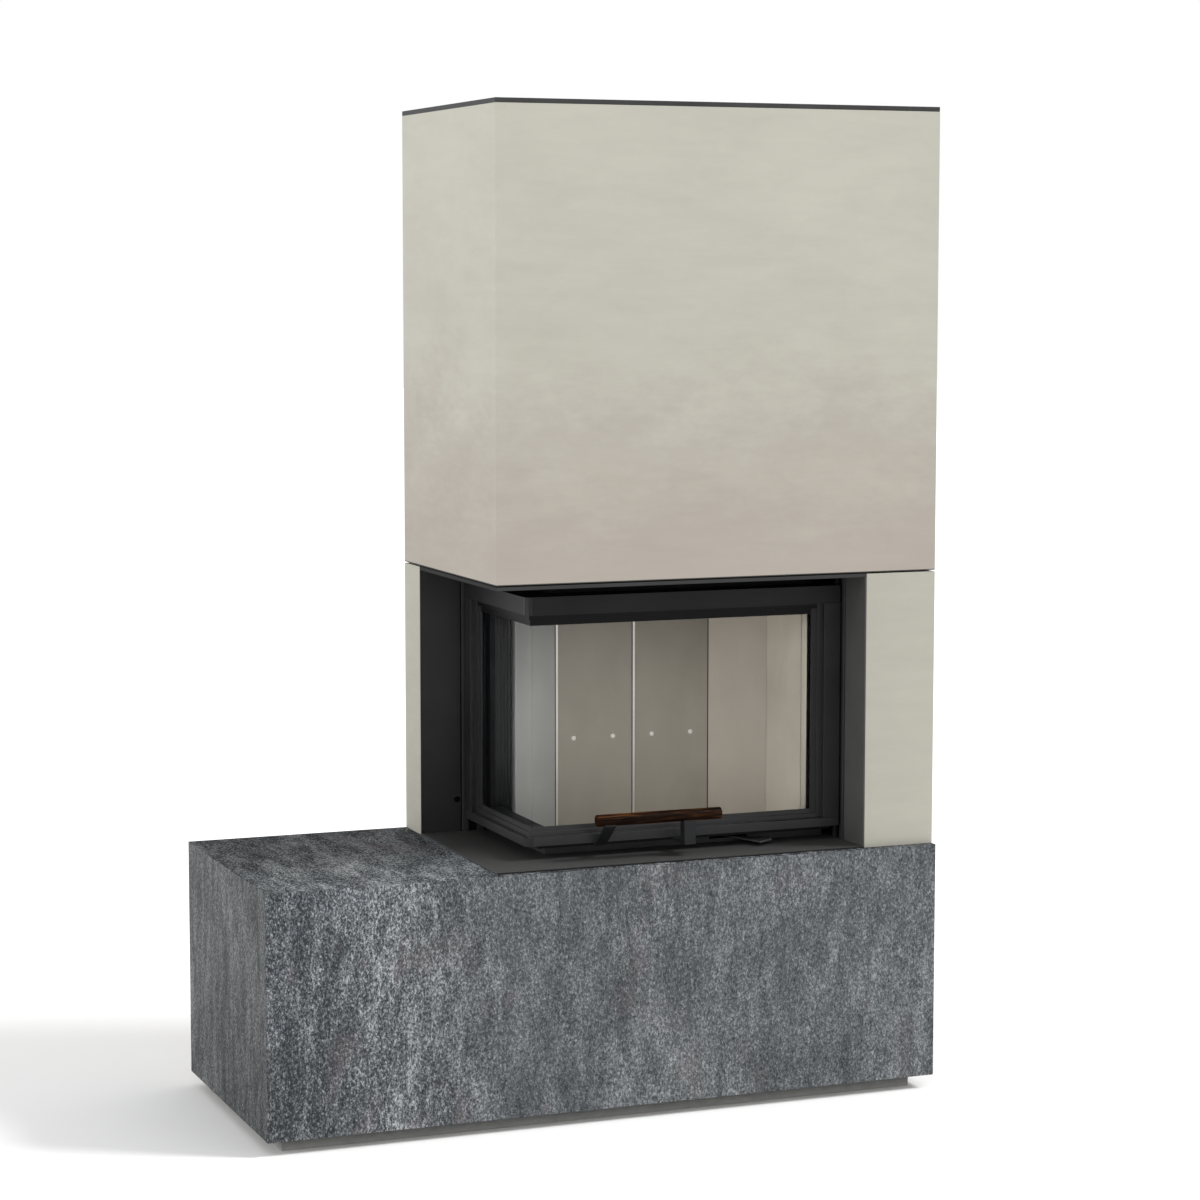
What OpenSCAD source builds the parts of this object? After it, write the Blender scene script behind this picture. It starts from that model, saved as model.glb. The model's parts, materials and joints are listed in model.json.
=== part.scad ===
// Corner fireplace: a stone-clad bench base, a plastered hood on two piers, and a steel insert
// with a corner door that lifts on counterweights. X runs to the right along the front, Y runs
// back to the wall and Z runs up. The origin is on the floor under the middle of the base.

/* [Base] */
// Width of the open bench, left of the hood
bench_w = 498; // [350:2:900]
// Height of the stone-clad part of the base
base_h = 510; // [460:5:560]
// Thickness of the stone cladding
stone_t = 20; // [15:1:25]
// Height of the recessed plinth
plinth_h = 30; // [20:1:60]
// How far the plinth stands back from the cladding
plinth_inset = 40; // [30:1:80]
// Thickness of the board that the base is built on
base_board_t = 20; // [15:1:30]
// Distance from the end cladding to the first support wall
support_in = 50; // [30:5:80]
// Thickness of the support walls in the base
support_t = 60; // [40:5:70]

/* [Hood] */
// Width between the door's right end and the right end of the hood
right_room = 176; // [170:1:220]
// Depth between the door's rear end and the wall
rear_room = 116; // [106:1:180]
// Height of the hood above the opening
hood_h = 976; // [950:2:1100]
// Thickness of the hood and pier panels
panel_t = 30; // [25:1:35]
// How far the hood front stands back from the base front
front_setback = 18; // [12:1:24]
// Thickness of the dark cap plate
cap_t = 10; // [6:1:20]
// Thickness of the boards against the wall
back_t = 20; // [15:1:25]
// Shadow gap between the piers and the hood
shadow_gap = 3; // [1:1:6]
// Leg of the steel angles that carry the hood
angle_leg = 30; // [25:1:35]
// Wall of the steel angles that carry the hood
angle_t = 3; // [2:1:5]

/* [Opening] */
// Height of the fire opening, from bench top to hood
opening_h = 596; // [590:2:640]
// Width of the right pier
pier_w = 163; // [155:1:166]
// Thickness of the floor plate, jamb and reveal sheets
sheet_t = 3; // [2:1:4]
// Height of the edge strip of the niche ceiling
ceiling_h = 10; // [6:1:14]

/* [Door] */
// How far the door stands back from the hood faces
door_recess = 100; // [96:1:104]
// Gap between the bench top and the door
door_gap = 33; // [31:1:36]
// Width of the door along the front
door_w = 726; // [700:1:727]
// Depth of the door along the left side
door_d = 388; // [370:1:392]
// Height of the door
door_h = 527; // [500:1:530]
// Depth of the door frame
frame_d = 40; // [36:1:42]
// Sheet thickness of the door frame
frame_t = 4; // [3:0.5:5]
// Face width of the top rail and the stiles
face_w = 38; // [30:1:44]
// Face height of the bottom rail
sill_face = 19; // [16:1:24]
// Width of each of the two inner steps of the top rail and the stiles
step_w = 12; // [9:1:14]
// Width of each of the two inner steps of the bottom rail
low_step_w = 10; // [8:1:12]
// Set-back of the first inner step
step_back = 12; // [9:1:13]
// Length of the corner cap along each face
corner_len = 16; // [10:1:22]
// Thickness of the panes
pane_t = 4; // [3:0.5:5]

/* [Handle] */
// Length of the wooden handle
handle_len = 284; // [200:2:360]
// Radius of the wooden handle
handle_r = 12.7; // [10:0.1:14]
// Distance from the door face forward to the handle axis
handle_out = 56; // [45:1:70]
// Height of the handle axis above the door bottom
handle_up = 57; // [50:1:70]
// Distance from the door corner to the near end of the handle
handle_off = 136; // [80:1:200]
// Width of the handle stays
stay_w = 26; // [16:1:32]
// Thickness of the handle stays
stay_t = 5; // [4:0.5:6]
// Distance from the handle's left end to the left stay
left_stay = 16; // [10:1:30]
// Distance from the handle's right end to the right stay
right_stay = 62; // [40:1:70]

/* [Fire chamber] */
// Thickness of the fireproof linings and floor bricks
lining_t = 25; // [20:1:30]
// Height of the linings above the flange plate
lining_h = 500; // [480:1:503]
// Depth of the hearth tray below the flange plate
tray_d = 62; // [56:1:80]
// Depth of the air space between the air box front and the hearth tray
air_d = 72; // [68:1:84]
// Height of the air box round the hearth tray
box_h = 110; // [100:1:130]
// Distance from the door's right end to the face of the right lining
right_in = 46; // [44:1:60]
// Depth of the smoke gap in front of the baffle
smoke_gap = 60; // [40:2:90]
// Length that the slanted rear corner cuts off each wall
corner_cut = 100; // [70:2:130]
// Run of the left lining panel along the front direction
left_run = 108; // [90:1:118]
// Run of the left lining panel along the depth
left_rise = 37; // [34:1:44]
// Distance from the door corner plane to the rear wall's left end
rear_start = 211; // [205:1:230]
// Width of the bright strips between the linings
strip_w = 5; // [3:0.5:7]
// Height of the secondary-air nozzles above the flange plate
nozzle_z = 172; // [120:2:260]
// Outer radius of the secondary-air nozzles
nozzle_r = 5; // [4:0.5:7]
// Distance from the door's left face to the middle of the grate
grate_in = 252; // [235:1:262]
// Radius of the round grate
grate_r = 90; // [80:1:96]
// Thickness of the grate
grate_t = 18; // [14:1:18]
// Number of slots in the grate
grate_slots = 9; // [5:2:11]
// Width of the sill in front of the fire
sill_w = 29; // [24:1:40]
// Height of the sill above the flange plate
sill_h = 34; // [28:1:40]
// Thickness of the flange plate
plate_t = 6; // [4:1:8]
// Gap between the floor plate and the flange plate, where the air lever moves
lever_gap = 17; // [16:1:19]
// How far the air box stands back from the door faces
box_back = 66; // [60:1:72]
// Width of the square tubes that the insert stands on
leg_w = 30; // [25:1:40]
// Wall thickness of the firebox shell
shell_t = 3; // [2:0.5:4]
// Height of the smoke dome
dome_h = 205; // [150:5:260]

/* [Flue and air] */
// Inner radius of the flue pipe
flue_r = 90; // [75:1:100]
// Wall of the flue pipe
flue_t = 2; // [1.5:0.5:3]
// Distance from the wall to the flue axis in the hood
flue_back = 250; // [240:1:270]
// Height of the flue outlet above the bench top
flue_up = 1250; // [1150:10:1350]
// Bend radius of the flue pipe
flue_bend = 150; // [120:1:170]
// Inner radius of the combustion-air duct
duct_r = 61; // [50:1:62]
// Distance from the door's right end to the duct axis
duct_in = 174; // [170:1:190]
// Distance from the chamber's rear lining forward to the duct axis
duct_back = 119; // [110:1:125]
// Wall of the combustion-air duct
duct_t = 1.5; // [1:0.5:2]
// Height of the duct outlet above the floor
duct_up = 250; // [190:5:300]
// Bend radius of the combustion-air duct
duct_bend = 100; // [80:1:120]
// Length of the air lever from its pivot to its tip
lever_len = 129; // [120:1:150]
// Distance from the duct axis to the lever's pivot
pivot_in = 60; // [50:1:80]
// Length of the lever's hooked grip
hook_len = 61; // [50:1:70]
// Radius of the air hole that the lever's gate covers
gate_r = 14; // [10:1:14]
// Angle of the air lever as it stands, to the right of straight ahead
lever_angle = 20.6; // [0:0.1:24]
// Thickness of the air lever
lever_t = 4; // [3:0.5:5]

/* [Lifting gear] */
// Height of the guide channels above the floor plate
guide_h = 1307; // [1280:1:1400]
// Height of the pulley axles above the guide channels
axle_up = 50; // [46:1:60]
// Radius of the pulleys at the cable's centre line
pulley_r = 35; // [32:1:38]
// Radius of the lifting cables
cable_r = 1.5; // [1:0.25:2]
// Distance from the pulley axle down to the counterweights
weight_gap = 180; // [150:5:200]
// Length of the right counterweight
right_weight_h = 300; // [260:5:340]
// Width of the right counterweight
right_weight_w = 38; // [30:1:40]
// Depth of the right counterweight
right_weight_d = 90; // [60:2:110]
// Length of the rear counterweight
rear_weight_h = 400; // [360:5:420]
// Width of the rear counterweight
rear_weight_w = 72; // [60:1:80]
// Depth of the rear counterweight
rear_weight_d = 28; // [20:1:30]

/* [Hidden] */
// Clearance round pipes, nozzles and inserts that are pushed together
fit = 0.3;
// Radial clearance of a turning fit
run_fit = 0.05;
// Clearance round the insert where it passes through the bench top
box_fit = 0.5;
// Roundness of all curves
$fn = 64;

// Overall widths and depth: the bench and the hood are built round the door
hood_w = door_recess + door_w + right_room;
base_w = bench_w + hood_w;
base_d = front_setback + door_recess + door_d + rear_room;

// Outer edges of the base and its levels
base_right = base_w / 2;
base_front = -base_d / 2;
wall_y = base_d / 2;
base_top = plinth_h + base_h;
slab_z = base_top - stone_t;
board_z = plinth_h + base_board_t;

// Outer edges of the hood and its levels
hood_right = base_right;
hood_left = hood_right - hood_w;
hood_front = base_front + front_setback;
hood_z = base_top + opening_h;
hood_top = hood_z + hood_h;
in_left = hood_left + panel_t;
in_right = hood_right - panel_t;
in_front = hood_front + panel_t;
in_back = wall_y - back_t;
pier_x = hood_right - pier_w;
floor_z = base_top + sheet_t;
ceiling_z = hood_z - ceiling_h;

// Outer planes of the door
door_left = hood_left + door_recess;
door_front = hood_front + door_recess;
door_right = door_left + door_w;
door_rear = door_front + door_d;
door_z = base_top + door_gap;
door_top = door_z + door_h;
shelf_t = 3;
low_edge = door_z + sill_face;
high_edge = door_top - face_w;
pane_out = step_back + 2 * frame_t;
pane_edge = frame_t + 5;
retainer_out = pane_out + pane_t + fit;
rear_web = 24;
retainer_w = rear_web - 2;
handle_y = door_front - handle_out;
handle_z = door_z + handle_up;
handle_x = door_left + handle_off;

// Fixed frame behind the door
frame_gap = 3;
fixed_out = frame_d + frame_gap;
sill_in = fixed_out + sill_w;
plate_z = floor_z + lever_gap;
flange_z = plate_z + plate_t;
sill_z = flange_z + sill_h;
tray_z = flange_z - tray_d;
box_z = plate_z - box_h;
box_cut = 65;
head_h = 20;
lining_top = flange_z + lining_h;
shell_z = lining_top + lining_t + frame_t;
head_z = shell_z - head_h;
jamb_y = door_rear + 8;
rear_pier_y = jamb_y + sheet_t;

// Plan of the fire chamber, at the inner faces of its linings
chamber_right = door_right - right_in;
chamber_back = door_rear - 6;
chamber_front = door_front + sill_in + fit;
c1 = [door_left + rear_start, chamber_back];
c0 = c1 - [left_run, left_rise];
c2 = [chamber_right - corner_cut, chamber_back];
c3 = [chamber_right, chamber_back - corner_cut];
left_bend = atan2(left_rise, left_run);
shell_in = lining_t + shell_t;
post_x = c0.x - 10.5;
post_y = c0.y - 2;
strip_pitch = strip_w + 2 * fit;
strip_out = 1;
panel_w = (c2.x - c1.x - 2 * strip_pitch) / 2;
grate_x = door_left + grate_in;
grate_z = tray_z + shell_t + lining_t - grate_t;
tray_front = door_front + box_back + air_d;
tray_left = c0.x - lining_t * sin(left_bend) - fit;
grate_y = (tray_front + chamber_back) / 2;
pot_r = grate_r - 14;
pot_d = 40;
dome_z = shell_z + shell_t;

// Flue and combustion-air duct
flue_x = (door_left + fixed_out + door_right) / 2;
flue_y = wall_y - flue_back;
flue_z = base_top + flue_up;
collar_z = dome_z + dome_h;
collar_h = 50;
duct_x = door_right - duct_in;
duct_y = chamber_back - duct_back;

// Air lever: its pivot stands in the middle of the air space, the gate swings evenly to both sides
pivot = [duct_x - pivot_in, door_front + box_back + (sheet_t + air_d - shell_t) / 2];
pivot_r = 5;
lever_z = floor_z + 8;
lever_swing = 42;
gate_reach = 32;
gate = pivot + gate_reach * [cos(lever_swing / 2), sin(lever_swing / 2)];

// Lifting gear: guide channels stand off the free ends of the door
guide_w = 50;
guide_d = 36;
guide_t = 3;
guide_slot = 20;
guide_off = 6;
shoe_fit = 0.5;
shoe_h = 60;
guide_top = floor_z + guide_h;
pulley_z = guide_top + axle_up;
cable_x = door_right + guide_off + guide_d / 2;
cable_y = door_front + frame_d / 2;
rear_cable_x = door_left + frame_d / 2;
rear_cable_y = door_rear + guide_off + guide_d / 2;
lug_z = door_top - 40;
weight_z = pulley_z - weight_gap;
axle_r = 5;
pulley_w = 12;
rim = 4;
ear_t = 4;
ear_gap = 2;
bracket_t = 5;

// ---- helpers ----

// A block between two opposite corners, given in any order
module block(a, b) {
    low = [min(a.x, b.x), min(a.y, b.y), min(a.z, b.z)];
    high = [max(a.x, b.x), max(a.y, b.y), max(a.z, b.z)];
    translate(low) cube(high - low);
}

// An upright prism on a plan outline
module upright(points, z0, z1) {
    translate([0, 0, z0]) linear_extrude(z1 - z0) polygon(points);
}

// A prism along X with its outline in Y and Z
module along_x(points, x0, x1) {
    translate([x0, 0, 0]) rotate([90, 0, 90]) linear_extrude(x1 - x0) polygon(points);
}

// A prism along Y with its outline in X and Z
module along_y(points, y0, y1) {
    translate([0, y1, 0]) rotate([90, 0, 0]) linear_extrude(y1 - y0) polygon(points);
}

// An L-shaped band that follows the two faces of the door at a set-back
module band(out, t, x_end, y_end, z0, z1) {
    x = door_left + out;
    y = door_front + out;
    upright([[x_end, y], [x, y], [x, y_end], [x + t, y_end], [x + t, y + t], [x_end, y + t]], z0, z1);
}

// Steel angles: the corner of the L runs along one axis, the legs point along the two signs
module angle_x(x0, x1, y, z, sy, sz) {
    block([x0, y, z], [x1, y + sy * angle_leg, z + sz * angle_t]);
    block([x0, y, z], [x1, y + sy * angle_t, z + sz * angle_leg]);
}

module angle_y(y0, y1, x, z, sx, sz) {
    block([x, y0, z], [x + sx * angle_leg, y1, z + sz * angle_t]);
    block([x, y0, z], [x + sx * angle_t, y1, z + sz * angle_leg]);
}

module angle_z(z0, z1, x, y, sx, sy) {
    block([x, y, z0], [x + sx * angle_leg, y + sy * angle_t, z1]);
    block([x, y, z0], [x + sx * angle_t, y + sy * angle_leg, z1]);
}

// Corner points of the chamber plan, moved outwards by d
function chamber_ring(d) = [
    [chamber_right + d, chamber_front],
    [chamber_right + d, c3.y + d * tan(22.5)],
    [c2.x + d * tan(22.5), chamber_back + d],
    [c1.x - d * tan(left_bend / 2), chamber_back + d],
    c0 + d * [-sin(left_bend), cos(left_bend)]
];

function flipped(list) = [for (i = [len(list) - 1 : -1 : 0]) list[i]];

// Outline of the insert's top plate, over the fixed frame and the shell
function insert_outline() =
    let (ring = chamber_ring(shell_in + shell_t))
    concat(
        [[door_left + fixed_out, door_front + fixed_out]],
        [[door_right, door_front + fixed_out], [door_right, door_front + sill_in]],
        [[ring[0].x, door_front + sill_in]],
        [ring[1], ring[2], ring[3]],
        [[post_x, door_rear], [door_left + fixed_out, door_rear]]
    );

// Plan of the hearth tray: the chamber behind the ledge, moved outwards by d
function tray_ring(d) =
    let (ring = chamber_ring(lining_t + d))
    [
        [tray_left - d, tray_front - d], [ring[0].x, tray_front - d],
        ring[1], ring[2], ring[3],
        [tray_left - d, ring[4].y + (tray_left - d - ring[4].x) * left_rise / left_run]
    ];

// Plan of the air box, moved inwards by d
function box_ring(d) =
    let (x0 = door_left + box_back, x1 = door_right - 10, y1 = chamber_back + lining_t + 11)
    [
        [x0 + d, door_front + box_back + d], [x1 - d, door_front + box_back + d],
        [x1 - d, y1 - box_cut - d * tan(22.5)], [x1 - box_cut - d * tan(22.5), y1 - d], [x0 + d, y1 - d]
    ];

// A bent pipe: upright at one end (up = 1 rises to the bend, -1 falls to it), level through the wall
module bent_pipe(x, y, z_end, z_out, bend, r, up, past) {
    z_bend = z_out - up * bend;
    translate([x, y, min(z_bend, z_end - up * past)]) cylinder(r = r, h = abs(z_bend - z_end) + past);
    translate([x, y + bend, z_bend]) rotate([up * 90, 0, -90])
        rotate_extrude(angle = 90) translate([bend, 0]) circle(r = r);
    translate([x, y + bend, z_out]) rotate([-90, 0, 0]) cylinder(r = r, h = wall_y - y - bend + past);
}

// ---- base ----

module plinth_board() {
    color("#1d1d1f")
        block([-base_right + plinth_inset, base_front + plinth_inset, 0],
              [base_right - plinth_inset, wall_y - plinth_inset, plinth_h]);
}

module base_floor() {
    color("#8f8b84")
        block([-base_right + stone_t, base_front + stone_t, plinth_h],
              [base_right - stone_t, wall_y, board_z]);
}

// The front cladding is mitred at both ends and along its top edge
module base_front_panel() {
    inner = base_right - stone_t;
    back = base_front + stone_t;
    color("#5b5f66") intersection() {
        upright([[-base_right, base_front], [base_right, base_front], [inner, back], [-inner, back]],
                plinth_h, base_top);
        along_x([[base_front, plinth_h], [back, plinth_h], [back, slab_z], [base_front, base_top]],
                -base_right, base_right);
    }
}

// One end of the base, mitred to the front panel and to the bench top
module base_end_panel(side) {
    outer = side * base_right;
    inner = side * (base_right - stone_t);
    intersection() {
        upright([[outer, base_front], [inner, base_front + stone_t], [inner, wall_y], [outer, wall_y]],
                plinth_h, base_top);
        along_y([[outer, plinth_h], [outer, base_top], [inner, slab_z], [inner, plinth_h]],
                base_front, wall_y);
    }
}

module base_left_panel() {
    color("#5b5f66") base_end_panel(-1);
}

module base_right_panel() {
    color("#5b5f66") base_end_panel(1);
}

module base_back_board() {
    color("#a9a59c") difference() {
        block([-base_right + stone_t, in_back, board_z], [base_right - stone_t, wall_y, slab_z]);
        translate([duct_x, in_back - 1, duct_up]) rotate([-90, 0, 0])
            cylinder(r = duct_r + duct_t + fit, h = back_t + 2);
    }
}

// The bench top is mitred on three sides, with a cut-out through which the insert's air box reaches down
module bench_top() {
    inner = base_right - stone_t;
    color("#5b5f66") difference() {
        intersection() {
            along_x([[base_front, base_top], [wall_y, base_top], [wall_y, slab_z],
                     [base_front + stone_t, slab_z]], -base_right, base_right);
            along_y([[-base_right, base_top], [base_right, base_top], [inner, slab_z],
                     [-inner, slab_z]], base_front, wall_y);
        }
        upright(box_ring(-box_fit), slab_z - 1, base_top + 1);
    }
}

// Walls of aerated block: two under the bench, one on either side of the insert
module support_walls() {
    first = -base_right + stone_t + support_in;
    last = base_right - stone_t - 10 - support_t;
    beside = box_ring(0)[0].x - 40 - support_t;
    color("#b5b1a8")
        for (x = [first, (first + beside) / 2, beside, last])
            block([x, base_front + stone_t, board_z], [x + support_t, in_back, slab_z]);
}

module air_duct() {
    color("#9a9c9f") difference() {
        bent_pipe(duct_x, duct_y, box_z, duct_up, duct_bend, duct_r + duct_t, -1, 0);
        bent_pipe(duct_x, duct_y, box_z, duct_up, duct_bend, duct_r, -1, 1);
    }
}

// ---- niche and piers ----

module floor_plate() {
    outline = [
        [hood_left, hood_front], [pier_x, hood_front], [pier_x, in_front], [in_right, in_front],
        [in_right, in_back], [in_left, in_back], [in_left, rear_pier_y], [hood_left, rear_pier_y]
    ];
    color("#2b2b2d") difference() {
        upright(outline, base_top, floor_z);
        upright(box_ring(-box_fit), base_top - 1, floor_z + 1);
    }
}

module rear_pier() {
    color("#c5c2b6")
        block([hood_left, rear_pier_y, base_top], [in_left, wall_y, hood_z - shadow_gap]);
}

// The two pier panels meet in a mitred corner, like the hood panels above them
module right_pier_front() {
    color("#c5c2b6")
        upright([[pier_x, hood_front], [hood_right, hood_front], [in_right, in_front], [pier_x, in_front]],
                base_top, hood_z - shadow_gap);
}

module right_pier_side() {
    color("#c5c2b6")
        upright([[hood_right, hood_front], [hood_right, wall_y], [in_right, wall_y], [in_right, in_front]],
                base_top, hood_z - shadow_gap);
}

// Sheets that close the niche beside the door: one on the rear pier, one on the right pier
module jamb_sheets() {
    color("#1b1b1c") {
        block([hood_left, jamb_y, floor_z], [rear_cable_x - guide_w / 2 - 3, rear_pier_y, ceiling_z]);
        block([pier_x - sheet_t, hood_front, floor_z], [pier_x, cable_y - guide_w / 2 - 1, ceiling_z]);
    }
}

// A folded sheet with a strip along the hood's edge and a lip in front of the rising door
module niche_ceiling() {
    fold_t = 2;
    reach = door_recess - 8;
    color("#2b2b2d") {
        ceiling_band(0, fold_t, ceiling_z, hood_z);
        ceiling_band(0, reach, ceiling_z, ceiling_z + fold_t);
        ceiling_band(reach - fold_t, fold_t, ceiling_z, hood_z + 14);
    }
}

module ceiling_band(out, t, z0, z1) {
    band(out - door_recess, t, pier_x, rear_pier_y, z0, z1);
}

// ---- hood ----

module hood_front_panel() {
    color("#c5c2b6")
        upright([[hood_left, hood_front], [hood_right, hood_front], [in_right, in_front],
                 [in_left, in_front]], hood_z, hood_top);
}

module hood_left_panel() {
    color("#c5c2b6")
        upright([[hood_left, hood_front], [in_left, in_front], [in_left, wall_y], [hood_left, wall_y]],
                hood_z, hood_top);
}

module hood_right_panel() {
    color("#c5c2b6")
        upright([[hood_right, hood_front], [hood_right, wall_y], [in_right, wall_y], [in_right, in_front]],
                hood_z, hood_top);
}

module back_board() {
    color("#b9b4a8") difference() {
        block([in_left, in_back, base_top], [in_right, wall_y, hood_top]);
        translate([flue_x, in_back - 1, flue_z]) rotate([-90, 0, 0])
            cylinder(r = flue_r + flue_t + fit, h = back_t + 2);
    }
}

module cap_plate() {
    color("#4a4a4b") block([hood_left, hood_front, hood_top], [hood_right, wall_y, hood_top + cap_t]);
}

// One welded frame of steel angles; the front left corner has no post, so the niche stays open
module hood_frame() {
    color("#55585b") {
        for (level = [[hood_z, 1], [hood_top, -1]]) {
            angle_x(in_left, in_right, in_front, level[0], 1, level[1]);
            angle_x(in_left, in_right, in_back, level[0], -1, level[1]);
            angle_y(in_front, in_back, in_left, level[0], 1, level[1]);
            angle_y(in_front, in_back, in_right, level[0], -1, level[1]);
        }
        angle_z(hood_z, hood_top, in_left, in_front, 1, 1);
        angle_z(floor_z, hood_top, in_left, in_back, 1, -1);
        angle_z(floor_z, hood_top, in_right, in_front, -1, 1);
        angle_z(floor_z, hood_top, in_right, in_back, -1, -1);
    }
}

// ---- fixed part of the insert ----

// The box hangs under the flange plate and takes in the air; a shelf along its front holds the air
// hole, and the lever reaches out over the shelf through a gap in the front wall
module air_box() {
    half_gap = 45;
    front = door_front + box_back;
    ring = box_ring(0);
    shelf_top = lever_z - fit;
    color("#262628") difference() {
        union() {
            difference() {
                upright(ring, box_z, plate_z);
                upright(box_ring(sheet_t), box_z + sheet_t, plate_z + 1);
            }
            block([ring[0].x + 1, front + 1, shelf_top - sheet_t],
                  [ring[1].x - 1, tray_front - shell_t, shelf_top]);
        }
        block([pivot.x - half_gap, front - 1, shelf_top],
              [pivot.x + half_gap, front + sheet_t + 1, plate_z + 1]);
        translate([gate.x, gate.y, shelf_top - sheet_t - 1]) cylinder(r = gate_r, h = sheet_t + 2);
        translate([duct_x, duct_y, box_z - 1]) cylinder(r = duct_r, h = sheet_t + 2);
    }
}

// Square tubes with round feet, on which the insert stands inside the base
module insert_legs() {
    ring = box_ring(leg_w / 2);
    foot_h = 30;
    rear_x = box_ring(0)[3].x - leg_w / 2;
    spots = [ring[0], ring[1], [rear_x, ring[4].y], ring[4]];
    color("#55585b")
        for (at = spots) {
            difference() {
                upright(square_at(at, leg_w), board_z + foot_h, box_z);
                upright(square_at(at, leg_w - 2 * angle_t), board_z + foot_h - 1, box_z - angle_t);
            }
            translate([at.x, at.y, board_z]) cylinder(r = leg_w, h = 6);
            translate([at.x, at.y, board_z]) cylinder(r = 6, h = foot_h + 12);
            upright(square_at(at, leg_w), board_z + foot_h, board_z + foot_h + angle_t);
        }
}

// Outline of a square tube of width w about a point
function square_at(at, w) = [
    at + [-w, -w] / 2, at + [w, -w] / 2, at + [w, w] / 2, at + [-w, w] / 2
];

// The flange carries the sill, the posts and the tray, and the stud on which the air lever turns;
// a row of holes lets the air up in front of the fire
module flange_plate() {
    overlap = 4;
    hole_r = 6;
    hole_pitch = 40;
    color("#2f3033") {
        difference() {
            union() {
                upright(box_ring(-overlap), plate_z, flange_z);
                block([door_left + fixed_out, door_front + fixed_out, plate_z],
                      [door_right, door_front + sill_in, flange_z]);
                block([door_left + fixed_out, door_front + fixed_out, plate_z],
                      [box_ring(0)[0].x, door_rear, flange_z]);
            }
            upright(tray_ring(shell_t + fit), plate_z - 1, flange_z + 1);
            for (x = [tray_left + hole_pitch : hole_pitch : chamber_right - hole_pitch])
                translate([x, tray_front - shell_t - 2 * hole_r, plate_z - 1])
                    cylinder(r = hole_r, h = plate_t + 2);
        }
        translate([pivot.x, pivot.y, lever_z - fit]) cylinder(r = pivot_r, h = plate_z - lever_z + fit);
    }
}

module sill_frame() {
    color("#2f3033") band(fixed_out, sill_w, door_right, post_y, flange_z, sill_z);
}

// Head and posts of the fixed frame, welded into one
module fixed_frame() {
    color("#2f3033") {
        band(fixed_out, sill_w, door_right, door_rear, head_z, shell_z);
        block([chamber_right - 12, door_front + fixed_out, sill_z],
              [door_right, door_front + sill_in, head_z + 1]);
        block([door_left + fixed_out, post_y, flange_z], [post_x, door_rear, head_z + 1]);
    }
}

// The shell stands round the linings; below the flange it closes to a tray that holds the hearth
module firebox_shell() {
    low = tray_ring(shell_t);
    color("#3a3b3d") {
        upright(concat(chamber_ring(lining_t), flipped(chamber_ring(shell_in))), flange_z, shell_z);
        difference() {
            upright(low, tray_z, flange_z);
            upright(tray_ring(0), tray_z + shell_t, flange_z + 1);
            translate([grate_x, grate_y, tray_z - 1]) cylinder(r = pot_r + 1, h = shell_t + 2);
        }
    }
}

// Two bricks fill the tray's floor inside the linings and leave a stepped seat for the grate
module floor_bricks() {
    ring = chamber_ring(-strip_out - fit);
    low = tray_z + shell_t;
    color("#6f6a62") difference() {
        upright([[tray_left + fit, tray_front + fit], [ring[0].x, tray_front + fit], ring[1], ring[2],
                 ring[3], ring[4], [tray_left + fit, ring[4].y]], low, low + lining_t);
        translate([grate_x, grate_y, grate_z]) cylinder(r = grate_r + fit, h = grate_t + 1);
        translate([grate_x, grate_y, low - 1]) cylinder(r = grate_r - 6, h = lining_t);
        block([grate_x - fit, tray_front - 1, low - 1],
              [grate_x + fit, chamber_back + 1, low + lining_t + 1]);
    }
}

module grate() {
    reach = grate_r - 14;
    pitch = 2 * reach / grate_slots;
    color("#2a2a2b") difference() {
        translate([grate_x, grate_y, grate_z]) cylinder(r = grate_r, h = grate_t);
        for (i = [0 : grate_slots - 1]) {
            x = (i - (grate_slots - 1) / 2) * pitch;
            half = sqrt(reach * reach - x * x);
            block([grate_x + x - pitch / 4, grate_y - half, grate_z - 1],
                  [grate_x + x + pitch / 4, grate_y + half, grate_z + grate_t + 1]);
        }
    }
}

// The ash pot hangs by its rim in the tray's floor
module ash_pot() {
    wall_t = 2;
    seat = tray_z + shell_t;
    color("#4c4d50") translate([grate_x, grate_y, 0]) difference() {
        union() {
            translate([0, 0, seat - pot_d]) cylinder(r = pot_r, h = pot_d + 1);
            translate([0, 0, seat]) cylinder(r = pot_r + 7, h = 3);
        }
        translate([0, 0, seat - pot_d + wall_t]) cylinder(r = pot_r - wall_t, h = pot_d + 2);
    }
}

// ---- linings ----

// Linings stand on the tray's floor and reach up past the flange
module lining(points) {
    upright(points, tray_z + shell_t, lining_top);
}

module left_lining() {
    outer = chamber_ring(lining_t);
    color("#8c8b87") lining([c0, c1, outer[3], outer[4]]);
}

// Two rear panels with holes for the air nozzles
module rear_linings() {
    back = chamber_back + lining_t;
    mid = c1.x + strip_pitch + panel_w;
    end = chamber_ring(lining_t)[2];
    color("#7f786e") difference() {
        union() {
            block([c1.x + strip_pitch, chamber_back, tray_z + shell_t], [mid, back, lining_top]);
            lining([[mid + strip_pitch, chamber_back], [c2.x - fit, chamber_back],
                    [end.x - fit, back], [mid + strip_pitch, back]]);
        }
        at_nozzles() cylinder(r = nozzle_r + fit, h = lining_t + 2);
    }
}

module corner_lining() {
    outer = chamber_ring(lining_t);
    color("#908a80") lining([c2, c3, outer[1], outer[2]]);
}

// The right lining steps up over the ledge in front of the tray
module right_lining() {
    outer = chamber_ring(lining_t);
    color("#9b958a") difference() {
        lining([[chamber_right, chamber_front], c3 - [0, fit], outer[1] - [0, fit], outer[0]]);
        block([chamber_right - 1, chamber_front - 1, tray_z], [outer[0].x + 1, tray_front + fit, flange_z]);
    }
}

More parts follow.
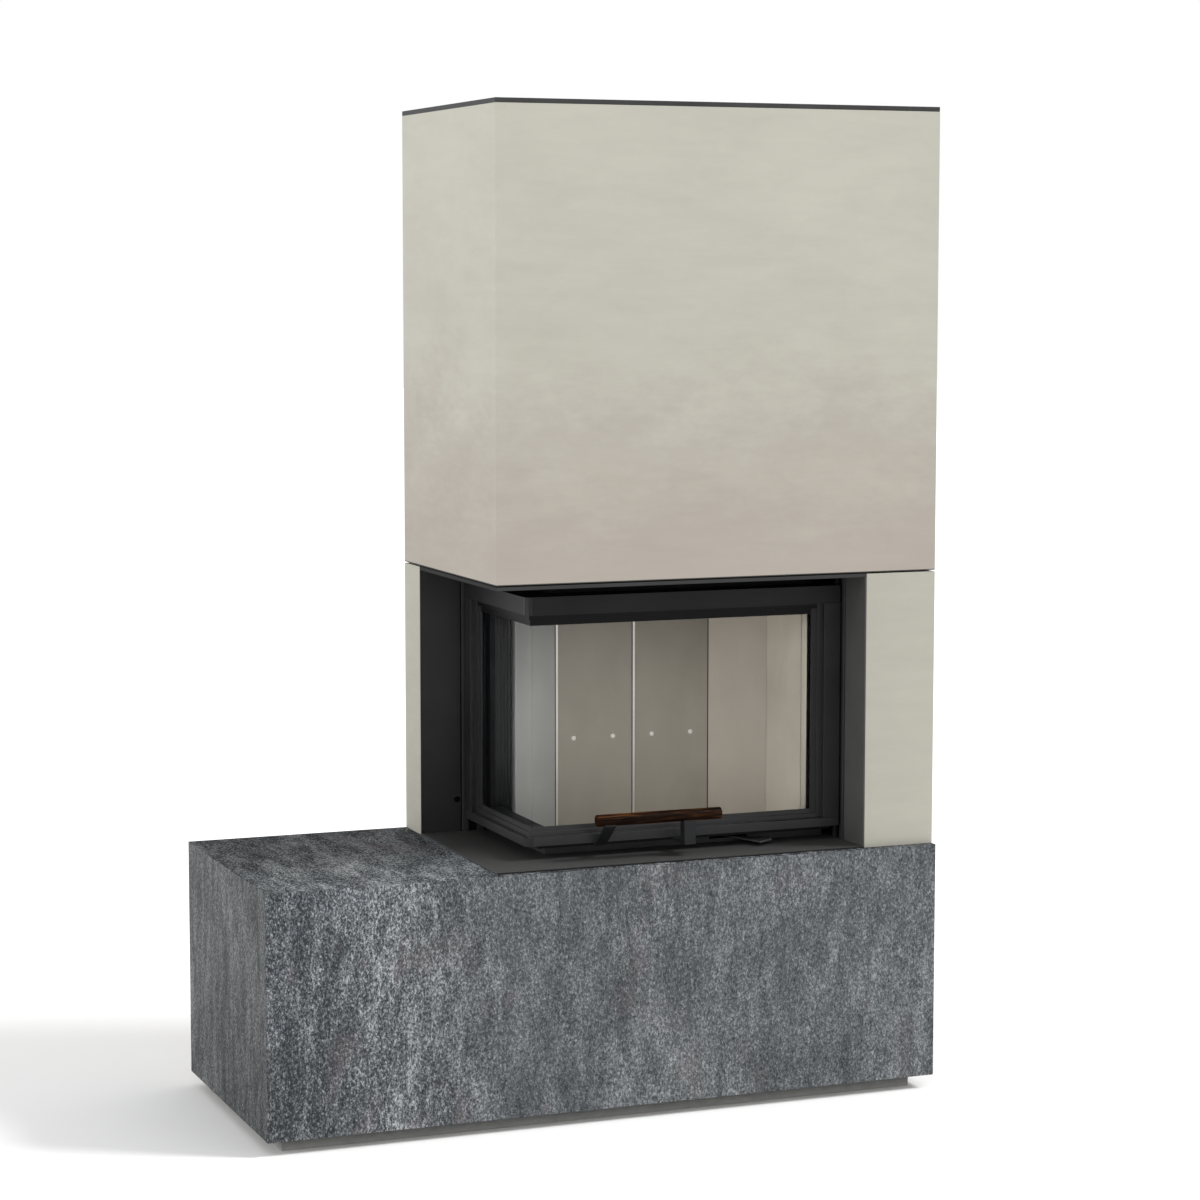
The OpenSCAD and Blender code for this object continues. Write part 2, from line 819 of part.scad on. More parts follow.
// Bright metal strips that cover the two joints of the rear wall
module lining_strips() {
    color("#d9d9d6")
        for (x = [c1.x + fit, c1.x + strip_pitch + panel_w + fit])
            block([x, chamber_back - strip_out, tray_z + shell_t],
                  [x + strip_w, chamber_back + lining_t, lining_top]);
}

// Places its children at the four nozzles, pointing into the rear wall
module at_nozzles() {
    pitch = (c2.x - c1.x) / 4 + 2;
    for (i = [0 : 3])
        translate([(c1.x + c2.x) / 2 + (i - 1.5) * pitch, chamber_back - 1, flange_z + nozzle_z])
            rotate([-90, 0, 0]) children();
}

module air_nozzles() {
    color("#d0d0cc") at_nozzles() difference() {
        cylinder(r = nozzle_r, h = lining_t / 2);
        translate([0, 0, -1]) cylinder(r = nozzle_r / 2, h = lining_t / 2 + 2);
    }
}

module baffle_board() {
    ring = chamber_ring(lining_t - fit);
    front = chamber_front + smoke_gap;
    top = lining_top;
    color("#b9b2a4")
        upright([[ring[0].x, front], ring[1], ring[2], ring[3], ring[4], [c0.x - 6, front]],
                top, top + lining_t);
}

// ---- smoke outlet ----

// A hood over the chamber, narrowing to the collar, with one corner cut off like the chamber's;
// w shrinks it all round
module dome_body(w, z0, z1) {
    edge = 6;
    half = flue_r + 10 - w;
    x0 = door_left + sill_in + 2 * edge + w;
    x1 = chamber_right + lining_t - edge - w;
    y0 = chamber_front + edge + w;
    y1 = chamber_back - w;
    slant = c2.x + c2.y + (lining_t - edge - w) * sqrt(2);
    intersection() {
        upright([[x0, y0], [x1, y0], [x1, slant - x1], [slant - y1, y1], [x0, y1]], z0, z1);
        along_y([[x0, z0], [x1, z0], [flue_x + half, z1], [flue_x - half, z1]], y0, y1);
        along_x([[y0, z0], [y1, z0], [flue_y + half, z1], [flue_y - half, z1]], x0, x1);
    }
}

module smoke_dome() {
    tube_t = 2;
    color("#3a3b3d") difference() {
        union() {
            upright(insert_outline(), shell_z, dome_z);
            dome_body(0, dome_z, collar_z);
            translate([flue_x, flue_y, collar_z]) cylinder(r = flue_r - fit, h = collar_h);
        }
        dome_body(shell_t, shell_z - 1, collar_z - shell_t);
        translate([flue_x, flue_y, collar_z - 2 * shell_t])
            cylinder(r = flue_r - fit - tube_t, h = collar_h + 2 * shell_t + 1);
    }
}

module flue_pipe() {
    color("#2c2c2e") difference() {
        bent_pipe(flue_x, flue_y, collar_z, flue_z, flue_bend, flue_r + flue_t, 1, 0);
        bent_pipe(flue_x, flue_y, collar_z, flue_z, flue_bend, flue_r, 1, 1);
    }
}

// ---- lifting gear ----

// A guide channel, drawn with its slot towards -X and its back towards +X
module guide_channel() {
    half = guide_w / 2;
    difference() {
        block([0, -half, floor_z], [guide_d, half, guide_top]);
        block([guide_t, guide_t - half, floor_z - 1], [guide_d - guide_t, half - guide_t, guide_top + 1]);
        block([-1, -guide_slot / 2, floor_z - 1], [guide_t + 1, guide_slot / 2, guide_top + 1]);
    }
}

module door_guides() {
    color("#77797c") {
        translate([door_right + guide_off, cable_y, 0]) guide_channel();
        translate([rear_cable_x, door_rear + guide_off, 0]) rotate([0, 0, 90]) guide_channel();
    }
}

// A bracket on top of a guide, with two ears and the pulley axle; low and high bound its plate
module pulley_bracket(x, y, low, high) {
    plate_top = guide_top + bracket_t;
    reach = pulley_w / 2 + ear_gap;
    difference() {
        block([low.x, low.y, guide_top], [high.x, high.y, plate_top]);
        translate([x - pulley_r, y, guide_top - 1]) cylinder(r = 4 * cable_r, h = bracket_t + 2);
    }
    for (side = [-1, 1])
        block([x - 15, y + side * reach, plate_top], [x + 15, y + side * (reach + ear_t), pulley_z + 20]);
    translate([x, y + reach + 1, pulley_z]) rotate([90, 0, 0]) cylinder(r = axle_r, h = 2 * reach + 2);
}

module pulley_brackets() {
    color("#6b6d70") {
        pulley_bracket(cable_x + pulley_r, cable_y,
                       [door_right + guide_off, cable_y - guide_w / 2],
                       [cable_x + pulley_r + 20, cable_y + guide_w / 2]);
        pulley_bracket(rear_cable_x + pulley_r, rear_cable_y,
                       [rear_cable_x - guide_w / 2, door_rear + guide_off],
                       [rear_cable_x + pulley_r + 20, door_rear + guide_off + guide_d]);
    }
}

// A grooved pulley on an axle along Y, with lightening holes
module pulley(x, y) {
    bottom = pulley_r - cable_r - fit;
    hole_r = 6;
    translate([x, y, pulley_z]) rotate([90, 0, 0]) difference() {
        cylinder(r = pulley_r + rim, h = pulley_w, center = true);
        cylinder(r = axle_r + run_fit, h = pulley_w + 2, center = true);
        rotate_extrude()
            polygon([[bottom, -2], [pulley_r + rim + 1, -5], [pulley_r + rim + 1, 5], [bottom, 2]]);
        for (a = [0 : 90 : 270])
            rotate([0, 0, a]) translate([(bottom + axle_r) / 2, 0, 0])
                cylinder(r = hole_r, h = pulley_w + 2, center = true);
    }
}

module right_pulley() {
    color("#b9bbbd") pulley(cable_x + pulley_r, cable_y);
}

module rear_pulley() {
    color("#b9bbbd") pulley(rear_cable_x + pulley_r, rear_cable_y);
}

// A cast block hanging on its cable
module counterweight(x, y, w, d, h) {
    block([x - w / 2, y - d / 2, weight_z - h], [x + w / 2, y + d / 2, weight_z]);
}

module right_counterweight() {
    color("#4a4b4d")
        counterweight(cable_x + 2 * pulley_r, cable_y, right_weight_w, right_weight_d, right_weight_h);
}

module rear_counterweight() {
    color("#4a4b4d")
        counterweight(rear_cable_x + 2 * pulley_r, rear_cable_y, rear_weight_w, rear_weight_d, rear_weight_h);
}

module cable(x, y, z0, z1) {
    translate([x, y, z0]) cylinder(r = cable_r, h = z1 - z0);
}

module door_cables() {
    color("#a8aaac") {
        cable(cable_x, cable_y, lug_z, pulley_z);
        cable(rear_cable_x, rear_cable_y, lug_z, pulley_z);
    }
}

module weight_cables() {
    color("#a8aaac") {
        cable(cable_x + 2 * pulley_r, cable_y, weight_z, pulley_z);
        cable(rear_cable_x + 2 * pulley_r, rear_cable_y, weight_z, pulley_z);
    }
}

// The half turns of the cables over the pulleys
module cable_bends() {
    color("#a8aaac")
        for (at = [[cable_x + pulley_r, cable_y], [rear_cable_x + pulley_r, rear_cable_y]])
            translate([at.x, at.y, pulley_z]) rotate([90, 0, 0])
                rotate_extrude(angle = 180) translate([pulley_r, 0]) circle(r = cable_r);
}

// ---- door ----

// The corner caps take this much of both faces
module cap_outline(grow, z0, z1) {
    upright([[door_left - grow, door_front - grow], [door_left + corner_len, door_front - grow],
             [door_left + corner_len, door_front + frame_t], [door_left + frame_t, door_front + frame_t],
             [door_left + frame_t, door_front + corner_len], [door_left - grow, door_front + corner_len]],
            z0, z1);
}

// A stepped rail that runs round the corner: edge is where the face ends, in points to the glass
module rail(outer, edge, in, step) {
    face_end = outer + in * frame_t;
    shelf = edge - in * shelf_t;
    first = edge + in * step;
    second = edge + in * 2 * step;
    low = min(outer, edge);
    high = max(outer, edge);
    difference() {
        level_band(0, frame_t, 0, outer, edge);
        cap_outline(1, low - 1, high + 1);
    }
    level_band(frame_t, frame_d - frame_t, 0, outer, face_end);
    level_band(frame_t, step_back, face_w - shelf_t, shelf, edge);
    level_band(step_back, frame_t, face_w + step_w, shelf, first);
    level_band(step_back + frame_t, frame_t, face_w + 2 * step_w, first - in * shelf_t, second);
    level_band(frame_d - frame_t, frame_t, rear_web + 1, outer, outer + in * (rear_web + 3));
    block([door_right - frame_t, door_front + frame_t, low], [door_right, door_front + frame_d, high]);
    block([door_left + frame_t, door_rear - frame_t, low], [door_left + frame_d, door_rear, high]);
}

// A band that stops short of both ends of the door, between two levels in any order
module level_band(out, t, short, za, zb) {
    band(out, t, door_right - short, door_rear - short, min(za, zb), max(za, zb));
}

module door_top_rail() {
    color("#303236") rail(door_top, high_edge, -1, step_w);
}

module door_bottom_rail() {
    color("#303236") rail(door_z, low_edge, 1, low_step_w);
}

// A stile, drawn from the door's end inwards along X and from its face backwards along Y
module stile() {
    inner = face_w + step_w;
    block([0, 0, low_edge], [face_w, frame_t, high_edge]);
    block([0, frame_t, low_edge], [frame_t, frame_d, high_edge]);
    block([face_w - shelf_t, frame_t, low_edge], [face_w, step_back + frame_t, high_edge]);
    block([face_w - shelf_t, step_back, low_edge], [inner, step_back + frame_t, high_edge]);
    block([inner - shelf_t, step_back + frame_t, low_edge], [inner + step_w, pane_out, high_edge]);
    block([0, frame_d - frame_t, low_edge], [rear_web, frame_d, high_edge]);
}

module door_right_stile() {
    color("#303236") translate([door_right, door_front, 0]) mirror([1, 0, 0]) stile();
}

module door_rear_stile() {
    color("#303236") translate([door_left, door_rear, 0]) rotate([0, 0, -90]) stile();
}

// Folded caps that close the mitred corner of both rails
module corner_caps() {
    bevel = 7;
    color("#36383c")
        for (level = [[door_z, low_edge], [high_edge, door_top]])
            difference() {
                cap_outline(0, level[0], level[1]);
                upright([[door_left - 1, door_front - 1], [door_left + bevel, door_front - 1],
                         [door_left + bevel, door_front], [door_left, door_front + bevel],
                         [door_left - 1, door_front + bevel]], level[0] - 1, level[1] + 1);
            }
}

module front_glass() {
    y = door_front + pane_out;
    color("#22262a88")
        block([door_left + pane_out, y, door_z + pane_edge],
              [door_right - pane_edge, y + pane_t, door_top - pane_edge]);
}

// The side pane butts against the back of the front pane
module side_glass() {
    x = door_left + pane_out;
    color("#22262a88")
        block([x, door_front + pane_out + pane_t + fit, door_z + pane_edge],
              [x + pane_t, door_rear - pane_edge, door_top - pane_edge]);
}

// Strips that hold the panes against the steps, round the corner and up both stiles
module glass_retainers() {
    depth = frame_d - frame_t - retainer_out;
    low = door_z + frame_t;
    high = door_top - frame_t;
    color("#28292c") {
        level_band(retainer_out, depth, pane_edge, low, low + retainer_w);
        level_band(retainer_out, depth, pane_edge, high - retainer_w, high);
        translate([door_right, door_front, 0]) mirror([1, 0, 0])
            stile_retainer(depth, low + retainer_w + fit, high - retainer_w - fit);
        translate([door_left, door_rear, 0]) rotate([0, 0, -90])
            stile_retainer(depth, low + retainer_w + fit, high - retainer_w - fit);
    }
}

module stile_retainer(depth, z0, z1) {
    block([frame_t + fit, retainer_out, z0], [frame_t + fit + 16, retainer_out + depth, z1]);
}

// A web through the guide slot with a shoe at each end, drawn towards +X from the door's end
module carriage() {
    web_half = 5;
    shoe_half = guide_w / 2 - guide_t - shoe_fit;
    shoe_x = guide_off + guide_t + shoe_fit;
    shoe_end = guide_off + guide_d - guide_t - shoe_fit;
    low = low_edge + 20;
    block([0, -web_half, low], [shoe_x, web_half, lug_z]);
    for (z = [low, lug_z - shoe_h])
        block([shoe_x, -shoe_half, z], [shoe_end, shoe_half, z + shoe_h]);
}

module carriages() {
    color("#8a8c8f") {
        translate([door_right, cable_y, 0]) carriage();
        translate([rear_cable_x, door_rear, 0]) rotate([0, 0, 90]) carriage();
    }
}

// ---- handle and air lever ----

// The left stay slants up to the handle; the right one stands on a level foot
module handle_stays() {
    foot = door_z - stay_t;
    seat = 13;
    left_x = handle_x + left_stay;
    right_x = handle_x + handle_len - right_stay;
    slanted = [
        [door_front + 18, foot], [door_front - 6, foot], [handle_y - 9, handle_z - seat],
        [handle_y - 9, handle_z - 8], [handle_y + 9, handle_z - 8], [handle_y + 9, handle_z - seat],
        [handle_y - 2, handle_z - seat], [door_front - 3, door_z], [door_front + 18, door_z]
    ];
    upright_stay = [
        [door_front + 18, foot], [handle_y - 12, foot], [handle_y - 12, handle_z - 24],
        [handle_y - 8, handle_z - 8], [handle_y + 8, handle_z - 8], [handle_y + 12, handle_z - 24],
        [handle_y + 12, door_z], [door_front + 18, door_z]
    ];
    color("#2a2b2e") difference() {
        union() {
            along_x(slanted, left_x, left_x + stay_w);
            along_x(upright_stay, right_x - stay_w, right_x);
        }
        translate([handle_x - 1, handle_y, handle_z]) rotate([0, 90, 0])
            cylinder(r = handle_r + run_fit, h = handle_len + 2);
    }
}

module handle_bar() {
    bevel = 2;
    color("#4a2f22") translate([handle_x, handle_y, handle_z]) rotate([0, 90, 0])
        rotate_extrude()
            polygon([[0, 0], [handle_r - bevel, 0], [handle_r, bevel], [handle_r, handle_len - bevel],
                     [handle_r - bevel, handle_len], [0, handle_len]]);
}

// A flat lever with a hooked grip; its short tail carries the gate over the air hole
module air_lever() {
    half = 8;
    boss_r = 14;
    hook_out = hook_len - 9;
    grip = [
        [lever_len, -half], [lever_len - 7, hook_len / 2 + 3], [lever_len - hook_len / 2 - 2, hook_out],
        [lever_len - hook_len, half]
    ];
    color("#77787a") translate([pivot.x, pivot.y, lever_z]) linear_extrude(lever_t) difference() {
        union() {
            rotate([0, 0, lever_angle - 90])
                polygon(concat([[0, -half]], grip, [[0, half]]));
            circle(r = boss_r);
            rotate([0, 0, lever_swing / 2]) translate([0, -half]) square([gate_reach, 2 * half]);
            translate(gate - pivot) circle(r = gate_r + 3);
        }
        circle(r = pivot_r + run_fit);
    }
}

// ---- parts ----

plinth_board();
base_floor();
base_front_panel();
base_left_panel();
base_right_panel();
base_back_board();
bench_top();
support_walls();
air_duct();
floor_plate();
rear_pier();
right_pier_front();
right_pier_side();
jamb_sheets();
niche_ceiling();
hood_front_panel();
hood_left_panel();
hood_right_panel();
back_board();
cap_plate();
hood_frame();
air_box();
insert_legs();
flange_plate();
sill_frame();
cable_bends();
fixed_frame();
firebox_shell();
floor_bricks();
grate();
ash_pot();
left_lining();
rear_linings();
corner_lining();
right_lining();
lining_strips();
air_nozzles();
baffle_board();
smoke_dome();
flue_pipe();
door_guides();
pulley_brackets();
door_cables();
weight_cables();
door_top_rail();
door_bottom_rail();
door_right_stile();
door_rear_stile();
corner_caps();
front_glass();
side_glass();
glass_retainers();
carriages();
handle_stays();
handle_bar();
right_pulley();
rear_pulley();
right_counterweight();
rear_counterweight();
air_lever();
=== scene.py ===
"""Looks of the corner fireplace: finishes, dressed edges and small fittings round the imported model."""

import json
import math

import bmesh
import bpy
import numpy as np
from mathutils import Matrix, Vector


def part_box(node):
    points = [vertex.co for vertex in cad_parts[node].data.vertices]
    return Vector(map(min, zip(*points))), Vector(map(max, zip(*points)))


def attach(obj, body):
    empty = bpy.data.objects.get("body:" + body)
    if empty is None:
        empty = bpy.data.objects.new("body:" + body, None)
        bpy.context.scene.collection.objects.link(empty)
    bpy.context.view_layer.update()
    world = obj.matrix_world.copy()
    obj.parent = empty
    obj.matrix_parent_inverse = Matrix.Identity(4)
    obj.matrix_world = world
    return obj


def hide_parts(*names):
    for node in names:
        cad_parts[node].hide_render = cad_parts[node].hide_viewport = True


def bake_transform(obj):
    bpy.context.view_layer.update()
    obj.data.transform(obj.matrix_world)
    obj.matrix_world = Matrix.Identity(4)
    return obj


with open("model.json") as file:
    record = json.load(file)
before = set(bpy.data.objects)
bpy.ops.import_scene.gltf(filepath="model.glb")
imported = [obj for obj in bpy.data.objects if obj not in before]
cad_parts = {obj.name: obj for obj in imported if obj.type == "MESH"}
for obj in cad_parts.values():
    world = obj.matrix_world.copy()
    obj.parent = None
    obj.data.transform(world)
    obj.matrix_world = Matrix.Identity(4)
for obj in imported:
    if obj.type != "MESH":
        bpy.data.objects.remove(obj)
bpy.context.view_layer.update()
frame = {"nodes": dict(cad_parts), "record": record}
scene = bpy.context.scene
slot_of = {row["node"]: row["material_slot"] for row in frame["record"]["subparts"]}
body_of = {node: body for body, nodes in frame["record"]["behaviour"]["bodies"].items()
           for node in nodes}

# ---------------------------------------------------------------- finishes


class Finish:
    """A procedural material: each method adds one kind of node and returns its output."""

    def __init__(self, name, colour=(0.5, 0.5, 0.5), metallic=0.0, roughness=0.5, **sockets):
        self.material = bpy.data.materials.new(name)
        self.material.use_nodes = True
        self.tree = self.material.node_tree
        self.shader = self.tree.nodes["Principled BSDF"]
        self.set("Base Color", (*colour, 1.0))
        self.set("Metallic", metallic)
        self.set("Roughness", roughness)
        for socket, value in sockets.items():
            self.set(socket.replace("_", " "), value)
        self.place = self.tree.nodes.new("ShaderNodeTexCoord").outputs["Object"]

    def set(self, socket, value):
        self.shader.inputs[socket].default_value = value

    def link(self, output, socket):
        self.tree.links.new(output, self.shader.inputs[socket])

    def node(self, kind, inputs, **settings):
        made = self.tree.nodes.new(kind)
        for key, value in settings.items():
            setattr(made, key, value)
        for key, value in inputs.items():
            if isinstance(value, bpy.types.NodeSocket):
                self.tree.links.new(value, made.inputs[key])
            else:
                made.inputs[key].default_value = value
        return made

    def stretched(self, scale):
        """Object coordinates, stretched: a larger number makes the pattern finer along that axis."""
        return self.node("ShaderNodeMapping", {"Vector": self.place, "Scale": scale}).outputs[0]

    def noise(self, vector, scale, detail, roughness, distortion=0.0):
        settings = {"Vector": vector, "Scale": scale, "Detail": detail, "Roughness": roughness,
                    "Distortion": distortion}
        return self.node("ShaderNodeTexNoise", settings).outputs["Fac"]

    def cloud(self):
        """Soft clouds about a hand wide, for the unevenness of a painted sheet."""
        return self.noise(self.place, 9, 4, 0.6)

    def cells(self, vector, scale):
        return self.node("ShaderNodeTexVoronoi", {"Vector": vector, "Scale": scale}).outputs["Distance"]

    def range(self, value, low, high, to_low=0.0, to_high=1.0):
        return self.node("ShaderNodeMapRange", {"Value": value, "From Min": low, "From Max": high,
                                                "To Min": to_low, "To Max": to_high}).outputs["Result"]

    def math(self, a, b, operation):
        return self.node("ShaderNodeMath", {0: a, 1: b}, operation=operation).outputs[0]

    def sum(self, *terms):
        """Adds weighted values, given as (value, weight)."""
        total = None
        for value, weight in terms:
            part = self.math(value, weight, "MULTIPLY")
            total = part if total is None else self.math(total, part, "ADD")
        return total

    def times(self, a, b):
        return self.math(a, b, "MULTIPLY")

    def away(self, value, place):
        """How far a value is from a place, on either side."""
        return self.math(self.math(value, place, "SUBTRACT"), 0.0, "ABSOLUTE")

    def along(self, axis):
        """The object's X, Y or Z coordinate."""
        return self.node("ShaderNodeSeparateXYZ", {"Vector": self.place}).outputs[axis]

    def ramp(self, value, stops):
        made = self.node("ShaderNodeValToRGB", {"Fac": value})
        bar = made.color_ramp.elements
        while len(bar) < len(stops):
            bar.new(0.5)
        for element, (position, colour) in zip(bar, stops):
            element.position = position
            element.color = (*colour, 1.0)
        return made.outputs["Color"]

    def mix(self, share, a, b, kind="MIX"):
        made = self.tree.nodes.new("ShaderNodeMix")
        made.data_type = "RGBA"
        made.blend_type = kind
        for socket, value in zip((0, 6, 7), (share, a, b)):
            if isinstance(value, bpy.types.NodeSocket):
                self.tree.links.new(value, made.inputs[socket])
            else:
                made.inputs[socket].default_value = value if socket == 0 else (*value, 1.0)
        return made.outputs[2]

    def shaded(self, colour, light):
        """A colour made lighter or darker by a value."""
        grey = self.node("ShaderNodeCombineColor", {0: light, 1: light, 2: light}).outputs[0]
        return self.mix(1.0, colour, grey, "MULTIPLY")

    def bump(self, height, depth, strength):
        """Bump whose full height is depth metres."""
        made = self.node("ShaderNodeBump", {"Height": height, "Strength": strength, "Distance": depth})
        self.link(made.outputs["Normal"], "Normal")

    def orange_peel(self, grain=1600):
        """The fine skin of powder coating, as bump. Returns its pattern."""
        peel = self.noise(self.place, grain, 2, 0.5)
        self.bump(peel, 0.00025, 0.35)
        return peel


def stone_finish(name, drawn, front=False, top=False, calm=1.0, shade=1.0, purple=0.5, gloss=0.28):
    """Blue-grey stone. drawn holds the pattern's fineness along each axis: the smallest is the way the
    grain is drawn out. The front has strong contrast at its left, with a pale vein, short white strokes
    near it and a darker edge. The top is painted darker towards the wall as shade, with a plum tinge."""
    f = Finish(name, roughness=0.66, Specular_IOR_Level=gloss)
    slow = tuple(0.25 + 0.75 * d for d in drawn)
    grain = f.noise(f.stretched(slow), 400, 4, 0.72)
    grit = f.noise(f.stretched(slow), 205, 5, 0.74, 0.2)
    drips = f.noise(f.stretched(tuple(d * d for d in drawn)), 34, 5, 0.66, 0.4)
    patches = f.noise(f.stretched(drawn), 8, 5, 0.62, 0.4)
    clouds = f.noise(f.stretched(drawn), 2.4, 4, 0.55, 0.3)
    speckle = f.range(grain, 0.32, 0.68)
    tone = f.sum((speckle, 0.38), (f.range(grit, 0.33, 0.67), 0.36),
                 (f.range(drips, 0.34, 0.66), 0.16), (f.range(patches, 0.34, 0.66), 0.06),
                 (f.range(clouds, 0.34, 0.66), 0.04))
    middle = 0.5
    contrast = f.range(patches, 0.36, 0.64, 0.90 * calm, 1.10 * calm)
    if front:
        contrast = f.times(contrast, f.range(f.along("X"), -0.46, -0.22, 1.5, 1.0))
    tone = f.sum((f.times(f.math(tone, middle, "SUBTRACT"), contrast), 1.0), (middle, 1.0))
    light = f.range(clouds, 0.3, 0.7, 0.93 * shade, 1.07 * shade)
    if front:
        vein = -0.465
        bend = f.noise(f.stretched((1, 1, 0.5)), 7, 3, 0.6)
        waver = f.sum((f.along("X"), 1.0), (bend, 0.16), (0.08, -1.0))
        off_vein = f.away(waver, vein)
        strokes = f.range(f.noise(f.stretched((1, 1, 0.25)), 85, 4, 0.66, 0.5), 0.54, 0.66)
        near = f.range(off_vein, 0.02, 0.16, 1.0, 0.15)
        tone = f.sum((tone, 1.0), (f.range(off_vein, 0.0, 0.045, 0.06, 0.0), 1.0),
                     (f.times(strokes, near), 0.26), (f.range(waver, -0.72, -0.52, 0.13, 0.0), -1.0))
        purple = f.range(waver, -0.70, -0.40, 1.0, purple)
        light = f.times(light, f.range(f.along("X"), -0.62, -0.20, 1.28, 0.97))
    if top:
        # Painted shade: the top is made darker towards the wall.
        to_wall = f.range(f.along("Y"), -0.28, 0.24)
        light = f.times(light, f.range(to_wall, 0.0, 1.0, 1.20, 0.76))
        purple = f.range(to_wall, 0.0, 1.0, 0.25 * purple, purple)
    dark, mid = (0.013, 0.015, 0.018), (0.060, 0.067, 0.073)
    pale, white = (0.112, 0.121, 0.128), (0.36, 0.375, 0.385)
    plum = (0.098, 0.072, 0.080)
    colour = f.ramp(tone, [(0.16, dark), (0.44, mid), (0.60, pale), (1.0, white)])
    stain = f.times(f.range(f.noise(f.stretched(drawn), 7.5, 4, 0.6, 0.5), 0.55, 0.70),
                    f.range(grain, 0.72, 0.40))
    colour = f.mix(f.times(stain, purple), colour, plum)
    f.link(f.shaded(colour, light), "Base Color")
    f.link(f.range(tone, 0.2, 0.8, 0.74, 0.52), "Roughness")
    f.bump(f.sum((speckle, 0.5), (grit, 0.5)), 0.0007, 0.5)
    return f.material


def plaster():
    """Greige mineral plaster: clouds and trowel marks lying level, yellowish above and rosy low down,
    with a painted shadow line along the gap between the piers and the hood."""
    f = Finish("plaster", roughness=0.78)
    streaks = f.noise(f.stretched((1, 1, 5.0)), 6, 5, 0.62, 0.25)
    clouds = f.noise(f.stretched((1, 1, 1.5)), 3.4, 5, 0.58, 0.35)
    marks = f.noise(f.stretched((1, 1, 2.2)), 26, 4, 0.6, 0.3)
    fine = f.noise(f.stretched((1, 1, 3)), 240, 3, 0.6)
    lift = f.sum((f.along("Z"), 1.0), (f.range(clouds, 0.3, 0.7, -0.09, 0.09), 1.0),
                 (f.range(marks, 0.3, 0.7, -0.05, 0.05), 1.0))
    rosy, sandy, yellowish = (0.306, 0.274, 0.238), (0.343, 0.329, 0.284), (0.369, 0.360, 0.308)
    pier, joint_z = (0.322, 0.312, 0.265), 1.1370
    base = f.mix(f.range(lift, 1.22, 1.62), rosy, sandy)
    base = f.mix(f.range(lift, 1.42, 2.02), base, yellowish)
    base = f.mix(f.range(f.along("Z"), joint_z - 0.002, joint_z - 0.001), pier, base)
    # Painted shadow: a dark line along the shadow gap between the piers and the hood.
    base = f.shaded(base, f.range(f.away(f.along("Z"), joint_z), 0.0010, 0.0016, 0.08, 1.0))
    tone = f.sum((streaks, 0.40), (clouds, 0.40), (marks, 0.14), (fine, 0.06))
    f.link(f.shaded(base, f.range(tone, 0.34, 0.66, 0.95, 1.045)), "Base Color")
    f.link(f.range(streaks, 0.3, 0.7, 0.84, 0.70), "Roughness")
    f.bump(f.sum((streaks, 0.35), (marks, 0.35), (fine, 0.3)), 0.0008, 0.35)
    return f.material


def coated(name, colour, roughness, gloss, grain=1600, wear=0.12):
    """Powder-coated sheet: a fine orange-peel grain, uneven sheen and a slight dusty cloud."""
    f = Finish(name, colour, 0.0, roughness, Specular_IOR_Level=gloss)
    peel = f.orange_peel(grain)
    cloud = f.cloud()
    low = tuple(c * (1 - wear) for c in colour)
    high = tuple(min(1.0, c * (1 + wear) + 0.002) for c in colour)
    f.link(f.mix(f.range(cloud, 0.3, 0.7), low, high), "Base Color")
    uneven = f.sum((cloud, 0.6), (peel, 0.4))
    f.link(f.range(uneven, 0.3, 0.7, roughness - 0.06, roughness + 0.07), "Roughness")
    return f.material


def jamb_finish():
    """Powder-coated sheet of the niche: the rear jamb is nearly black, the front jamb a mid grey."""
    f = Finish("jamb_sheet", roughness=0.5, Specular_IOR_Level=0.2)
    rear_black, front_grey = (0.0155, 0.0155, 0.0155), (0.058, 0.057, 0.056)
    colour = f.mix(f.range(f.along("X"), 0.29, 0.31), rear_black, front_grey)
    f.link(f.shaded(colour, f.range(f.cloud(), 0.3, 0.7, 0.9, 1.1)), "Base Color")
    f.orange_peel()
    return f.material


def ceiling_finish():
    """Dark sheet under the hood: its front edge face is lighter and the rest is painted darker as shade,
    with a painted shadow line where it meets the hood.
    """
    f = Finish("ceiling_sheet", roughness=0.6, Specular_IOR_Level=0.02)
    front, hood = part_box("niche_ceiling")[0][1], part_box("hood_front_panel")[0][2]
    # Painted shade: behind its front edge face the sheet is made darker.
    tone = f.range(f.along("Y"), front + 0.0002, front + 0.0010, 0.040, 0.026)
    tone = f.times(tone, f.range(f.cloud(), 0.3, 0.7, 0.9, 1.1))
    # Painted shadow: a black line along the top, at the gap under the hood.
    tone = f.times(tone, f.range(f.along("Z"), hood - 0.0027, hood - 0.0020, 1.0, 0.04))
    f.link(f.shaded((1.0, 1.0, 1.0), tone), "Base Color")
    f.orange_peel()
    return f.material


def top_rail_finish():
    """Painted steel; the rail's two inner steps, which lie below its outer face, are painted darker as
    shade.
    """
    f = Finish("top_rail_metal", roughness=0.45, Specular_IOR_Level=0.12)
    colour = f.mix(f.range(f.cloud(), 0.3, 0.7), (0.0095, 0.0095, 0.0100), (0.0130, 0.0130, 0.0136))
    shelf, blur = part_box("door_top_rail")[1][2] - 0.0415, 0.0008
    # Painted shade on the inner steps below the shelf.
    painted_step_shade = f.range(f.along("Z"), shelf - blur, shelf + blur, 0.12, 1.0)
    f.link(f.shaded(colour, painted_step_shade), "Base Color")
    f.orange_peel()
    return f.material


